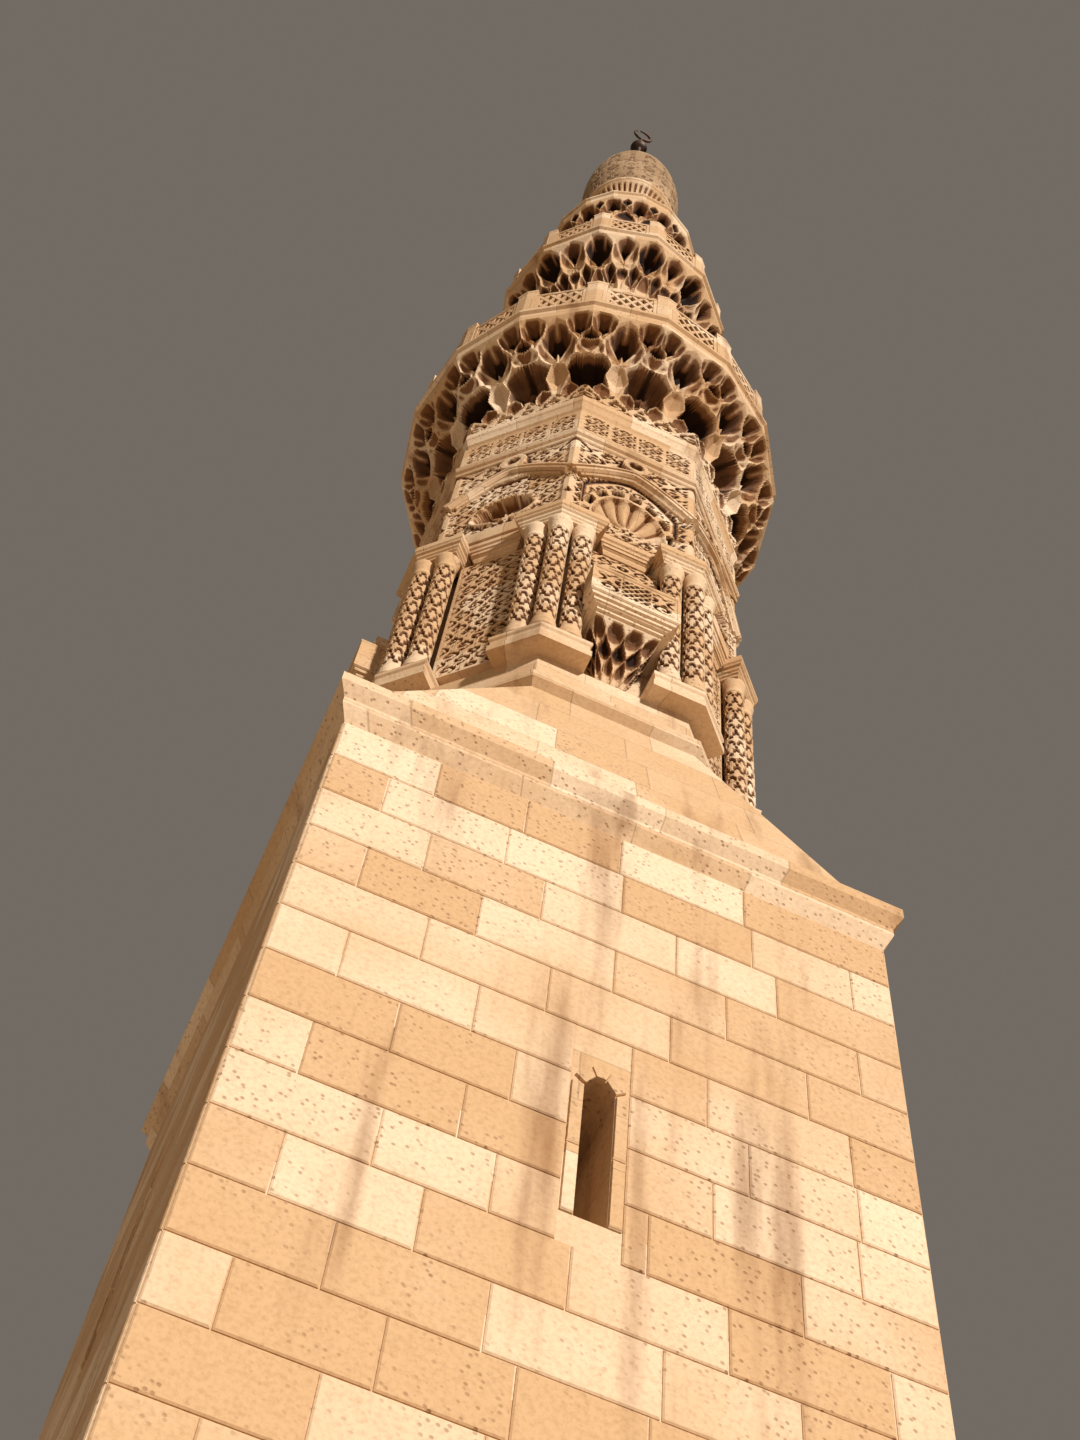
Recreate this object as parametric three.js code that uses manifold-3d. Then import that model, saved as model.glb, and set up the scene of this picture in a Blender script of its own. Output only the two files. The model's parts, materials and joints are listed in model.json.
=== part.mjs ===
// A stone minaret in the late Mamluk manner, about 39 m high, in millimetres with +Z up.
// The origin is at ground level on the tower's axis. The front is towards -Y.
//
// From the ground up: a square base on a plinth, a chamfered transition, an octagonal storey with
// clustered colonnettes and four small balconies, a corbelled balcony of sixteen sides, a round
// storey, a corbelled balcony of twelve sides, a pavilion of eight columns, a corbelled crown of
// sixteen sides, and a bulb on a neck with its finial and crescent.

import * as THREE from 'three';
import { mergeVertices } from 'three/addons/utils/BufferGeometryUtils.js';
import Module from 'manifold-3d';

const wasm = await Module();
wasm.setup();

// Gap left between stones that rest on each other or stand side by side.
const JOINT = 0.3;

// Plinth and square base.
const PLINTH_HALF = 1780;
const PLINTH_TOP = 450;
const BASE_HALF = 1600;
const BASE_WALL = 560;
const BASE_TOP = 11000;
const BASE_CORNICE_TOP = 11350;
const BASE_CORNICE_REACH = 100;
const BASE_DOOR = { width: 900, height: 2150 };
const BASE_SLIT = { width: 150, height: 950, sills: [4200, 7900] };

// Chamfered transition from the square to the octagon.
const TRANSITION_TOP = 12850;
const OCTAGON_FOOT_TOP = 13100;

// Octagonal storey: distances from the axis to the faces.
const OCTAGON_FACE = 1310;
const OCTAGON_INSIDE = 880;
const COLUMN_RECESS_FACE = 1160;
const COLUMN_ZONE_BOTTOM = 13450;
const COLUMN_ZONE_TOP = 15950;
const RECESS_HEAD = 15780;
const OCTAGON_WALL_TOP = 17870;
const OCTAGON_FLOOR_TOP = 14250;
const OCTAGON_STAIR = 450;

// Clustered colonnettes: three at each corner, between a footing and a ledge.
const COLONNETTE_RADIUS = 78;
const COLONNETTE_SPACING = 188;
const COLONNETTE_FACE = 1340;
const FOOTING_TOP = 13700;
const FOOTING_FACE = 1445;
const LEDGE_BOTTOM = 15700;
const LEDGE_FACE = 1465;
const LEDGE_LENGTH = 330;

// Arched head of each octagon face.
const KEEL_PANEL = { half: 425, sill: 16050, spring: 17000, apex: 17420, depth: 45 };
const SHELL_CARDINAL = { half: 230, depth: 230, height: 780, sill: 16260 };
const SHELL_DIAGONAL = { half: 200, depth: 190, height: 430, sill: 16500 };
const GABLE = { half: 530, foot: 17040, apex: 17520, thickness: 110, proud: 60 };
const GABLE_LOOP = { radius: 95, hole: 52, height: 17620 };

// Small balconies on the four cardinal faces, each with a low doorway behind it.
const BALCONY_DOOR = { width: 430, sill: 14260, height: 1240 };
const SMALL_BALCONY = {
	floorBottom: 14145,
	floorTop: 14260,
	parapetTop: 14640,
	front: 1598,
	half: 340,
	neckHalf: 255,
	neckFront: 1435,
	parapetThickness: 50,
};

// Ornament band and cornice that close the octagon.
const BAND_TOP = 18720;
const CORNICE_TOP = 18940;
const CORNICE_FACE = 1357;

// First corbelled balcony, of sixteen sides.
const MUQARNAS_1_TOP = 20430;
const STAIR_SHAFT = 870;
const BALCONY_1_CORNER = 1882;
const BALCONY_1_TOP = 20770;

// Round storey.
const ROUND_OUTSIDE = 1000;
const ROUND_INSIDE = 680;
const ROUND_TOP = 24600;
const ROUND_PANEL = { half: 270, sill: 21000, spring: 23950, apex: 24450, depth: 60 };
const ROUND_START = -121.5;
const ROUND_DOOR = { width: 440, height: 1750 };

// Second corbelled balcony, of twelve sides.
const MUQARNAS_2_TOP = 25830;
const BALCONY_2_CORNER = 1413;
const BALCONY_2_TOP = 26110;

// Balustrades of both balconies.
const POST = { width: 112, depth: 92, height: 800 };
const RAILING = { height: 600, depth: 60, bar: 52, frame: 62 };

// Open pavilion.
const PAVILION_RING = 790;
const PAVILION_COLUMN_RADIUS = 82;
const KERB_TOP = 26360;
const PAVILION_COLUMN_TOP = 28300;
const BEAM_TOP = 28480;

// Corbelled crown.
const MUQARNAS_3_TOP = 29500;
const CROWN_CORNER = 1057;
const CROWN_TOP = 29800;
const CROWN_TURN = -120;

// Neck, bulb, finial and crescent.
const NECK_RADIUS = 500;
const COLLAR_BOTTOM = 31500;
const COLLAR_TOP = 32400;
const COLLAR_RADIUS = 712;
const BULB_WIDEST = 33500;
const BULB_RADIUS = 762;
const BULB_TOP = 36050;
const FINIAL_BALL_HEIGHT = 38510;
const FINIAL_BALL_RADIUS = 150;
const FINIAL_POLE_RADIUS = 45;
const CRESCENT_RADIUS = 250;
const CRESCENT_SECTION = 30;
const CRESCENT_STEM = 170;
const CRESCENT_TURN = 12;

const STONE = { color: 0xc9a377, roughness: 0.9, metalness: 0 };
const BULB_STONE = { color: 0x9a7a5c, roughness: 0.9, metalness: 0 };
const BRONZE = { color: 0x4a3328, roughness: 0.55, metalness: 0.7 };

const radians = THREE.MathUtils.degToRad;
const OCTAGON_CORNER = -112.5;
const FACES = [
	{ word: 'front', azimuth: -90 },
	{ word: 'front_right', azimuth: -45 },
	{ word: 'right', azimuth: 0 },
	{ word: 'back_right', azimuth: 45 },
	{ word: 'back', azimuth: 90 },
	{ word: 'back_left', azimuth: 135 },
	{ word: 'left', azimuth: 180 },
	{ word: 'front_left', azimuth: 225 },
];

// Turns a closed three.js geometry into a solid with its faces pointing out.
function solidOf(geometry) {
	const bare = geometry.clone();
	bare.deleteAttribute('normal');
	bare.deleteAttribute('uv');
	const merged = mergeVertices(bare, 1e-3);
	const corners = merged.attributes.position.array;
	const order = merged.index.array;
	const triangles = [];
	let volume = 0;
	for (let i = 0; i < order.length; i += 3) {
		const [a, b, c] = [order[i], order[i + 1], order[i + 2]];
		if (a === b || b === c || c === a) continue;
		triangles.push(a, b, c);
		const [pa, pb, pc] = [a, b, c].map((k) => new THREE.Vector3().fromArray(corners, 3 * k));
		volume += pa.dot(pb.cross(pc));
	}
	if (volume < 0) triangles.reverse();
	return new wasm.Manifold(new wasm.Mesh({
		numProp: 3,
		vertProperties: new Float32Array(corners),
		triVerts: new Uint32Array(triangles),
	}));
}

function geometryOf(solid) {
	const mesh = solid.getMesh();
	const geometry = new THREE.BufferGeometry();
	geometry.setAttribute('position', new THREE.BufferAttribute(mesh.vertProperties, 3));
	geometry.setIndex(new THREE.BufferAttribute(mesh.triVerts, 1));
	return geometry;
}

function joined(solids) {
	return solids.reduce((whole, solid) => whole.add(solid));
}

// Ring or block with straight sides: profile points are [distance to the face, height].
function turned(profile, sides, cornerAzimuth) {
	const spread = 1 / Math.cos(Math.PI / sides);
	const points = profile.map(([face, height]) => new THREE.Vector2(face * spread, height));
	const geometry = new THREE.LatheGeometry(points, sides, radians(cornerAzimuth + 90));
	geometry.rotateX(Math.PI / 2);
	return solidOf(geometry);
}

// Round piece: profile points are [radius, height].
function lathed(profile, sides, x = 0, y = 0) {
	const points = profile.map(([radius, height]) => new THREE.Vector2(radius, height));
	const geometry = new THREE.LatheGeometry(points, sides);
	geometry.rotateX(Math.PI / 2);
	geometry.translate(x, y, 0);
	return solidOf(geometry);
}

function outline(points) {
	return new THREE.Shape(points.map(([x, y]) => new THREE.Vector2(x, y)));
}

// Plan outline raised from one height to another.
function raised(shape, bottom, top, curveSegments = 6) {
	const geometry = new THREE.ExtrudeGeometry(shape, {
		depth: top - bottom,
		bevelEnabled: false,
		curveSegments,
	});
	geometry.translate(0, 0, bottom);
	return solidOf(geometry);
}

// Front elevation outline (x, height) given a thickness from one distance to a farther one.
function fronted(shape, near, far, curveSegments = 4) {
	const geometry = new THREE.ExtrudeGeometry(shape, {
		depth: far - near,
		bevelEnabled: false,
		curveSegments,
	});
	geometry.rotateX(Math.PI / 2);
	geometry.translate(0, -near, 0);
	return solidOf(geometry);
}

function block(half, near, far, bottom, top) {
	return raised(outline([[-half, -far], [half, -far], [half, -near], [-half, -near]]), bottom, top);
}

// Turns a piece made at the front to another azimuth.
function facing(solid, azimuth) {
	return solid.rotate([0, 0, azimuth + 90]);
}

// Opening with a pointed head: two arcs that meet at the apex.
function pointedArch(half, sill, spring, apex) {
	const shape = new THREE.Shape();
	shape.moveTo(-half, sill);
	shape.lineTo(half, sill);
	shape.lineTo(half, spring);
	shape.quadraticCurveTo(half * 0.86, spring + (apex - spring) * 0.68, 0, apex);
	shape.quadraticCurveTo(-half * 0.86, spring + (apex - spring) * 0.68, -half, spring);
	shape.closePath();
	return shape;
}

// Distance from the axis to a regular polygon's edge, in the direction of an azimuth.
function polygonReach(azimuth, face, sides, faceAzimuth) {
	const step = 360 / sides;
	const offset = THREE.MathUtils.euclideanModulo(azimuth - faceAzimuth + step / 2, step) - step / 2;
	return face / Math.cos(radians(offset));
}

// Solid of revolution whose radius changes with azimuth and height.
function corbelled(heights, reach, columns, firstAzimuth) {
	const positions = [];
	const index = [];
	const rows = heights.length;
	heights.forEach((height, row) => {
		for (let column = 0; column < columns; column++) {
			const azimuth = firstAzimuth + (360 * column) / columns;
			const radius = reach(azimuth, height, row);
			const angle = radians(azimuth);
			positions.push(radius * Math.cos(angle), radius * Math.sin(angle), height);
		}
	});
	const bottom = rows * columns;
	positions.push(0, 0, heights[0], 0, 0, heights[rows - 1]);
	for (let column = 0; column < columns; column++) {
		const next = (column + 1) % columns;
		for (let row = 0; row < rows - 1; row++) {
			const [a, b] = [row * columns + column, row * columns + next];
			index.push(a, b, b + columns, a, b + columns, a + columns);
		}
		const top = (rows - 1) * columns;
		index.push(bottom, next, column, bottom + 1, top + column, top + next);
	}
	const geometry = new THREE.BufferGeometry();
	geometry.setAttribute('position', new THREE.Float32BufferAttribute(positions, 3));
	geometry.setIndex(index);
	return solidOf(geometry);
}

// One tier of stalactite cells: hollow in the middle of each cell, full along the ribs between cells.
function cellReach(azimuth, rise, low, high, cells, cellAzimuth) {
	const width = 360 / cells;
	const offset = THREE.MathUtils.euclideanModulo(azimuth - cellAzimuth + width / 2, width) - width / 2;
	const towardsRib = Math.abs(offset) / (width / 2);
	const roundness = 2.4 - 1.8 * towardsRib;
	return low + (high - low) * (1 - (1 - rise ** roundness) ** (1 / roundness));
}

function plinth() {
	const edge = 80;
	return turned([
		[0, 0],
		[PLINTH_HALF, 0],
		[PLINTH_HALF, PLINTH_TOP - 2 * edge],
		[PLINTH_HALF - edge, PLINTH_TOP - edge],
		[PLINTH_HALF - edge, PLINTH_TOP],
		[0, PLINTH_TOP],
	], 4, 45);
}

function baseWall(halfWidth, azimuth, hasDoor) {
	const bottom = PLINTH_TOP + JOINT;
	const wall = outline([
		[-halfWidth, bottom],
		[halfWidth, bottom],
		[halfWidth, BASE_TOP],
		[-halfWidth, BASE_TOP],
	]);
	for (const sill of BASE_SLIT.sills) {
		const head = sill + BASE_SLIT.height;
		wall.holes.push(pointedArch(BASE_SLIT.width / 2, sill, head - 90, head));
	}
	const near = BASE_HALF - BASE_WALL;
	let solid = fronted(wall, near, BASE_HALF);
	if (hasDoor) {
		const head = PLINTH_TOP + BASE_DOOR.height;
		const doorway = pointedArch(BASE_DOOR.width / 2, PLINTH_TOP - 50, head - 420, head);
		solid = solid.subtract(fronted(doorway, near - 50, BASE_HALF + 50));
	}
	return facing(solid, azimuth);
}

function baseCornice() {
	const bottom = BASE_TOP + JOINT;
	const inside = BASE_HALF - BASE_WALL;
	const middle = (BASE_TOP + BASE_CORNICE_TOP) / 2;
	return turned([
		[inside, bottom],
		[BASE_HALF, bottom],
		[BASE_HALF + BASE_CORNICE_REACH / 2, middle - 60],
		[BASE_HALF + BASE_CORNICE_REACH / 2, middle],
		[BASE_HALF + BASE_CORNICE_REACH, middle + 90],
		[BASE_HALF + BASE_CORNICE_REACH, BASE_CORNICE_TOP],
		[inside, BASE_CORNICE_TOP],
		[inside, bottom],
	], 4, 45);
}

// Square below, octagon above: four sloping faces and a triangle at each corner.
function transition() {
	const bottom = BASE_CORNICE_TOP + JOINT;
	const squareCorner = BASE_HALF * Math.SQRT2;
	const octagonCorner = (OCTAGON_FACE + 50) / Math.cos(Math.PI / 8);
	const positions = [];
	const place = (radius, azimuth, height) => {
		positions.push(radius * Math.cos(radians(azimuth)), radius * Math.sin(radians(azimuth)), height);
	};
	for (let k = 0; k < 4; k++) place(squareCorner, 45 + 90 * k, bottom);
	for (let k = 0; k < 8; k++) place(octagonCorner, 22.5 + 45 * k, TRANSITION_TOP);
	const index = [0, 2, 1, 0, 3, 2];
	for (let k = 0; k < 4; k++) {
		const next = (k + 1) % 4;
		const [left, right] = [4 + 2 * k, 5 + 2 * k];
		const after = 4 + ((2 * k + 2) % 8);
		index.push(k, right, left);
		index.push(k, next, after, k, after, right);
	}
	for (let k = 1; k < 7; k++) index.push(4, 4 + k, 5 + k);
	const geometry = new THREE.BufferGeometry();
	geometry.setAttribute('position', new THREE.Float32BufferAttribute(positions, 3));
	geometry.setIndex(index);
	const foot = turned([
		[0, TRANSITION_TOP - 10],
		[OCTAGON_FACE + 30, TRANSITION_TOP - 10],
		[OCTAGON_FACE + 95, TRANSITION_TOP + 70],
		[OCTAGON_FACE + 95, TRANSITION_TOP + 150],
		[OCTAGON_FACE + 20, OCTAGON_FOOT_TOP],
		[0, OCTAGON_FOOT_TOP],
	], 8, OCTAGON_CORNER);
	const shaft = turned([
		[0, BASE_CORNICE_TOP - 10],
		[OCTAGON_INSIDE, BASE_CORNICE_TOP - 10],
		[OCTAGON_INSIDE, OCTAGON_FOOT_TOP + 10],
		[0, OCTAGON_FOOT_TOP + 10],
	], 8, OCTAGON_CORNER);
	return solidOf(geometry).add(foot).subtract(shaft);
}

// Upper half of a hollow shell, cut into a wall face.
function shellHollow(shell) {
	const geometry = new THREE.SphereGeometry(1, 10, 6);
	geometry.rotateX(Math.PI / 2);
	geometry.scale(shell.half, shell.depth, shell.height);
	geometry.translate(0, -OCTAGON_FACE, shell.sill);
	const [near, far] = [OCTAGON_FACE - 500, OCTAGON_FACE + 500];
	return solidOf(geometry).intersect(block(shell.half + 20, near, far, shell.sill, shell.sill + 2000));
}

function gableMoulding() {
	const { half, foot, apex, thickness, proud } = GABLE;
	const chevron = outline([
		[-half, foot],
		[-half + 30, foot - 30],
		[0, apex - thickness],
		[half - 30, foot - 30],
		[half, foot],
		[half, foot + thickness * 0.75],
		[0, apex],
		[-half, foot + thickness * 0.75],
	]);
	const loop = new THREE.Shape();
	loop.absarc(0, GABLE_LOOP.height, GABLE_LOOP.radius, 0, 2 * Math.PI);
	const hole = new THREE.Path();
	hole.absarc(0, GABLE_LOOP.height, GABLE_LOOP.hole, 0, 2 * Math.PI);
	loop.holes.push(hole);
	const near = OCTAGON_FACE - 20;
	const far = OCTAGON_FACE + proud;
	return fronted(chevron, near, far).add(fronted(loop, near, far - 15));
}

function octagonWall(azimuth) {
	const isCardinal = azimuth % 90 === 0;
	const slope = Math.tan(Math.PI / 8);
	const halfAt = (face) => face * slope - JOINT * 0.6;
	const plan = outline([
		[-halfAt(OCTAGON_FACE), -OCTAGON_FACE],
		[halfAt(OCTAGON_FACE), -OCTAGON_FACE],
		[halfAt(OCTAGON_INSIDE), -OCTAGON_INSIDE],
		[-halfAt(OCTAGON_INSIDE), -OCTAGON_INSIDE],
	]);
	const ledgeGap = OCTAGON_FACE * slope - LEDGE_LENGTH + 20;
	const back = COLUMN_RECESS_FACE;
	const sideRecess = block(700, back, OCTAGON_FACE + 50, COLUMN_ZONE_BOTTOM, COLUMN_ZONE_TOP + JOINT);
	const head = block(ledgeGap - 40, back - 10, OCTAGON_FACE, RECESS_HEAD, COLUMN_ZONE_TOP + 50);
	const shell = isCardinal ? SHELL_CARDINAL : SHELL_DIAGONAL;
	const keel = pointedArch(KEEL_PANEL.half, KEEL_PANEL.sill, KEEL_PANEL.spring, KEEL_PANEL.apex);
	let wall = raised(plan, OCTAGON_FOOT_TOP + JOINT, OCTAGON_WALL_TOP)
		.subtract(sideRecess)
		.add(head)
		.subtract(fronted(keel, OCTAGON_FACE - KEEL_PANEL.depth, OCTAGON_FACE + 50))
		.subtract(shellHollow(shell))
		.add(gableMoulding());
	if (isCardinal) {
		const top = BALCONY_DOOR.sill + BALCONY_DOOR.height;
		const door = pointedArch(BALCONY_DOOR.width / 2, BALCONY_DOOR.sill, top - 170, top);
		wall = wall.subtract(fronted(door, OCTAGON_INSIDE - 50, OCTAGON_FACE));
	}
	return facing(wall, azimuth);
}

// Folded plan of a piece that turns a polygon's corner, between a front face and a back face.
// Its length along each side is measured from the corner of the wall face.
function foldedPlan(wallFace, front, back, length, sides) {
	const half = Math.PI / sides;
	const along = new THREE.Vector2(Math.cos(half), Math.sin(half));
	const outward = new THREE.Vector2(Math.sin(half), -Math.cos(half));
	const corner = new THREE.Vector2(0, -wallFace / Math.cos(half));
	const end = corner.clone().addScaledVector(along, length);
	const far = end.clone().addScaledVector(outward, front - wallFace);
	const near = end.clone().addScaledVector(outward, back - wallFace);
	return outline([
		[0, -front / Math.cos(half)],
		[far.x, far.y],
		[near.x, near.y],
		[0, -back / Math.cos(half)],
		[-near.x, near.y],
		[-far.x, far.y],
	]);
}

function columnCluster(azimuth) {
	const half = Math.PI / 8;
	const back = COLUMN_RECESS_FACE + JOINT;
	const plan = (face, length) => foldedPlan(OCTAGON_FACE, face, back, length, 8);
	const footing = raised(plan(FOOTING_FACE, LEDGE_LENGTH - 10), COLUMN_ZONE_BOTTOM + JOINT, FOOTING_TOP);
	const ledgeSteps = [
		[LEDGE_FACE - 50, LEDGE_LENGTH - 40, LEDGE_BOTTOM, LEDGE_BOTTOM + 70],
		[LEDGE_FACE - 25, LEDGE_LENGTH - 20, LEDGE_BOTTOM + 60, LEDGE_BOTTOM + 160],
		[LEDGE_FACE, LEDGE_LENGTH, LEDGE_BOTTOM + 150, COLUMN_ZONE_TOP],
	];
	const ledge = ledgeSteps.map(([face, length, bottom, top]) => raised(plan(face, length), bottom, top));
	const radius = COLONNETTE_RADIUS;
	const profile = [
		[0, FOOTING_TOP - 10],
		[radius + 16, FOOTING_TOP - 10],
		[radius, FOOTING_TOP + 140],
		[radius, LEDGE_BOTTOM - 180],
		[radius + 18, LEDGE_BOTTOM + 10],
		[0, LEDGE_BOTTOM + 10],
	];
	const columns = [-1, 0, 1].map((side) => {
		const x = side * COLONNETTE_SPACING * Math.cos(half);
		const y = -COLONNETTE_FACE / Math.cos(half) + Math.abs(side) * COLONNETTE_SPACING * Math.sin(half);
		return lathed(profile, 8, x, y);
	});
	return facing(joined([footing, ...columns, ...ledge]), azimuth);
}

function smallBalcony(azimuth) {
	const balcony = SMALL_BALCONY;
	const near = COLUMN_RECESS_FACE + JOINT;
	const inner = balcony.half - balcony.parapetThickness;
	const floorPlan = outline([
		[-balcony.half, -balcony.front],
		[balcony.half, -balcony.front],
		[balcony.half, -balcony.neckFront],
		[balcony.neckHalf, -balcony.neckFront],
		[balcony.neckHalf, -near],
		[-balcony.neckHalf, -near],
		[-balcony.neckHalf, -balcony.neckFront],
		[-balcony.half, -balcony.neckFront],
	]);
	const parapetPlan = outline([
		[-balcony.half, -balcony.front],
		[balcony.half, -balcony.front],
		[balcony.half, -balcony.neckFront],
		[inner, -balcony.neckFront],
		[inner, -balcony.front + balcony.parapetThickness],
		[-inner, -balcony.front + balcony.parapetThickness],
		[-inner, -balcony.neckFront],
		[-balcony.half, -balcony.neckFront],
	]);
	const corbels = [
		block(250, near, balcony.front - 70, balcony.floorBottom - 150, balcony.floorBottom + 10),
		block(235, near, balcony.front - 160, balcony.floorBottom - 300, balcony.floorBottom - 140),
		block(190, near, balcony.front - 270, balcony.floorBottom - 440, balcony.floorBottom - 290),
		block(140, near, balcony.front - 380, balcony.floorBottom - 560, balcony.floorBottom - 430),
	];
	return facing(joined([
		raised(floorPlan, balcony.floorBottom, balcony.floorTop),
		raised(parapetPlan, balcony.floorTop - 10, balcony.parapetTop),
		...corbels,
	]), azimuth);
}

// Floor at the level of the small balconies, with the stair opening in it.
function octagonFloor() {
	const bottom = OCTAGON_FLOOR_TOP - 200;
	const top = OCTAGON_FLOOR_TOP;
	const face = OCTAGON_INSIDE - JOINT;
	return turned([[0, bottom], [face, bottom], [face, top], [0, top]], 8, OCTAGON_CORNER)
		.subtract(stairShaft(OCTAGON_STAIR, bottom, top));
}

function octagonBand() {
	const bottom = OCTAGON_WALL_TOP + JOINT;
	const field = OCTAGON_FACE + 8;
	return turned([
		[OCTAGON_INSIDE, bottom],
		[OCTAGON_FACE + 35, bottom],
		[OCTAGON_FACE + 35, OCTAGON_WALL_TOP + 100],
		[field, OCTAGON_WALL_TOP + 240],
		[field, BAND_TOP - 160],
		[OCTAGON_FACE - 12, BAND_TOP - 140],
		[OCTAGON_FACE - 12, BAND_TOP - 70],
		[CORNICE_FACE - 20, BAND_TOP],
		[OCTAGON_INSIDE, BAND_TOP],
		[OCTAGON_INSIDE, bottom],
	], 8, OCTAGON_CORNER);
}

function octagonCornice() {
	const bottom = BAND_TOP + JOINT;
	return turned([
		[OCTAGON_INSIDE, bottom],
		[CORNICE_FACE - 20, bottom],
		[CORNICE_FACE, bottom + 60],
		[CORNICE_FACE, CORNICE_TOP],
		[OCTAGON_INSIDE, CORNICE_TOP],
		[OCTAGON_INSIDE, bottom],
	], 8, OCTAGON_CORNER);
}

function stairShaft(radius, bottom, top) {
	return lathed([[0, bottom - 10], [radius, bottom - 10], [radius, top + 10], [0, top + 10]], 16);
}

function muqarnas1() {
	const bottom = CORNICE_TOP + JOINT;
	const tiers = { niche: 19640, leaf: 20150 };
	const heights = [bottom, 19300, 19530, tiers.niche, 19900, 20070, tiers.leaf, 20300, MUQARNAS_1_TOP];
	const rim = (BALCONY_1_CORNER - 32) * Math.cos(Math.PI / 16);
	const reach = (azimuth, height) => {
		const foot = polygonReach(azimuth, OCTAGON_FACE - 20, 8, -90);
		const lower = foot + 175;
		const upper = polygonReach(azimuth, rim - 120, 16, 11.25);
		if (height <= tiers.niche) {
			return cellReach(azimuth, (height - bottom) / (tiers.niche - bottom), foot, lower, 16, 0);
		}
		if (height <= tiers.leaf) {
			const rise = (height - tiers.niche) / (tiers.leaf - tiers.niche);
			return cellReach(azimuth, rise, lower, upper, 16, 11.25);
		}
		const rise = (height - tiers.leaf) / (MUQARNAS_1_TOP - tiers.leaf);
		return THREE.MathUtils.lerp(upper, polygonReach(azimuth, rim, 16, 11.25), rise ** 1.6);
	};
	return corbelled(heights, reach, 64, 0).subtract(stairShaft(STAIR_SHAFT, bottom, MUQARNAS_1_TOP));
}

// Balcony floor: a plain fascia with a projecting lip, and a stair opening in the middle.
function balconyFloor(bottomHeight, topHeight, corner, sides, cornerAzimuth, opening) {
	const bottom = bottomHeight + JOINT;
	const face = corner * Math.cos(Math.PI / sides);
	const slab = turned([
		[0, bottom],
		[face - 30, bottom],
		[face - 30, topHeight - 175],
		[face, topHeight - 145],
		[face, topHeight - 95],
		[face - 22, topHeight - 60],
		[face - 22, topHeight],
		[0, topHeight],
	], sides, cornerAzimuth);
	return slab.subtract(stairShaft(opening, bottomHeight, topHeight));
}

// Pierced panel: a frame with two crossing bars, which leave four triangles open.
function railingPanel(width, near, far, bottom) {
	const { height, bar, frame } = RAILING;
	const half = width / 2 - frame;
	const middle = bottom + height / 2;
	const rise = height / 2 - frame;
	const slope = rise / half;
	const across = (bar / 2) * Math.hypot(1, slope);
	const along = across / slope;
	const holes = [];
	for (const side of [1, -1]) {
		holes.push([
			[side * along, middle],
			[side * half, middle - side * (rise - across)],
			[side * half, middle + side * (rise - across)],
		]);
		holes.push([
			[0, middle + side * across],
			[side * (half - along), middle + side * rise],
			[-side * (half - along), middle + side * rise],
		]);
	}
	const panel = block(width / 2, near, far, bottom, bottom + height);
	return holes.reduce((left, hole) => left.subtract(fronted(outline(hole), near - 50, far + 50)), panel);
}

// Ring of flat posts folded round the corners, with a pierced panel on each side.
function balustradeRing(floorTop, corner, sides, firstCorner) {
	const bottom = floorTop + JOINT;
	const step = 360 / sides;
	const face = (corner - 34) * Math.cos(Math.PI / sides);
	const sideLength = 2 * face * Math.tan(Math.PI / sides);
	const panelWidth = sideLength - 2 * POST.width + 20;
	const postPlan = foldedPlan(face, face, face - POST.depth, POST.width, sides);
	const pieces = [];
	for (let k = 0; k < sides; k++) {
		const post = raised(postPlan, bottom, floorTop + POST.height);
		const panel = railingPanel(panelWidth, face - RAILING.depth - 14, face - 14, bottom);
		pieces.push(facing(post, firstCorner + step * k));
		pieces.push(facing(panel, firstCorner + step * (k + 0.5)));
	}
	return joined(pieces);
}

// One half of the ring: it keeps the post at one end and stops short of the post at the other.
function balustradeHalf(floorTop, corner, sides, isFront) {
	const pastPost = THREE.MathUtils.radToDeg((POST.width + 4) / (corner - 34));
	const size = 2 * corner;
	const plan = outline([[-size, JOINT / 2], [size, JOINT / 2], [size, size], [-size, size]]);
	const side = raised(plan, floorTop - 100, floorTop + 2000);
	const turn = (isFront ? 180 : 0) + pastPost;
	return balustradeRing(floorTop, corner, sides, 0).intersect(side.rotate([0, 0, turn]));
}

function roundWall(startAzimuth, hasDoor) {
	const bottom = BALCONY_1_TOP + JOINT;
	const gap = radians(0.02);
	const plan = new THREE.Shape();
	plan.absarc(0, 0, ROUND_OUTSIDE, radians(startAzimuth) + gap, radians(startAzimuth + 90) - gap, false);
	plan.absarc(0, 0, ROUND_INSIDE, radians(startAzimuth + 90) - gap, radians(startAzimuth) + gap, true);
	plan.closePath();
	let wall = raised(plan, bottom, ROUND_TOP, 6);
	const { half, sill, spring, apex, depth } = ROUND_PANEL;
	for (const turn of [22.5, 67.5]) {
		const arch = pointedArch(half, sill, spring, apex);
		const recess = fronted(arch, ROUND_OUTSIDE - depth, ROUND_OUTSIDE + 50);
		wall = wall.subtract(facing(recess, startAzimuth + turn));
	}
	if (hasDoor) {
		const head = BALCONY_1_TOP + ROUND_DOOR.height;
		const arch = pointedArch(ROUND_DOOR.width / 2, BALCONY_1_TOP - 20, head - 200, head);
		const door = fronted(arch, ROUND_INSIDE - 100, ROUND_OUTSIDE + 50);
		wall = wall.subtract(facing(door, startAzimuth + 22.5));
	}
	return wall;
}

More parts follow.
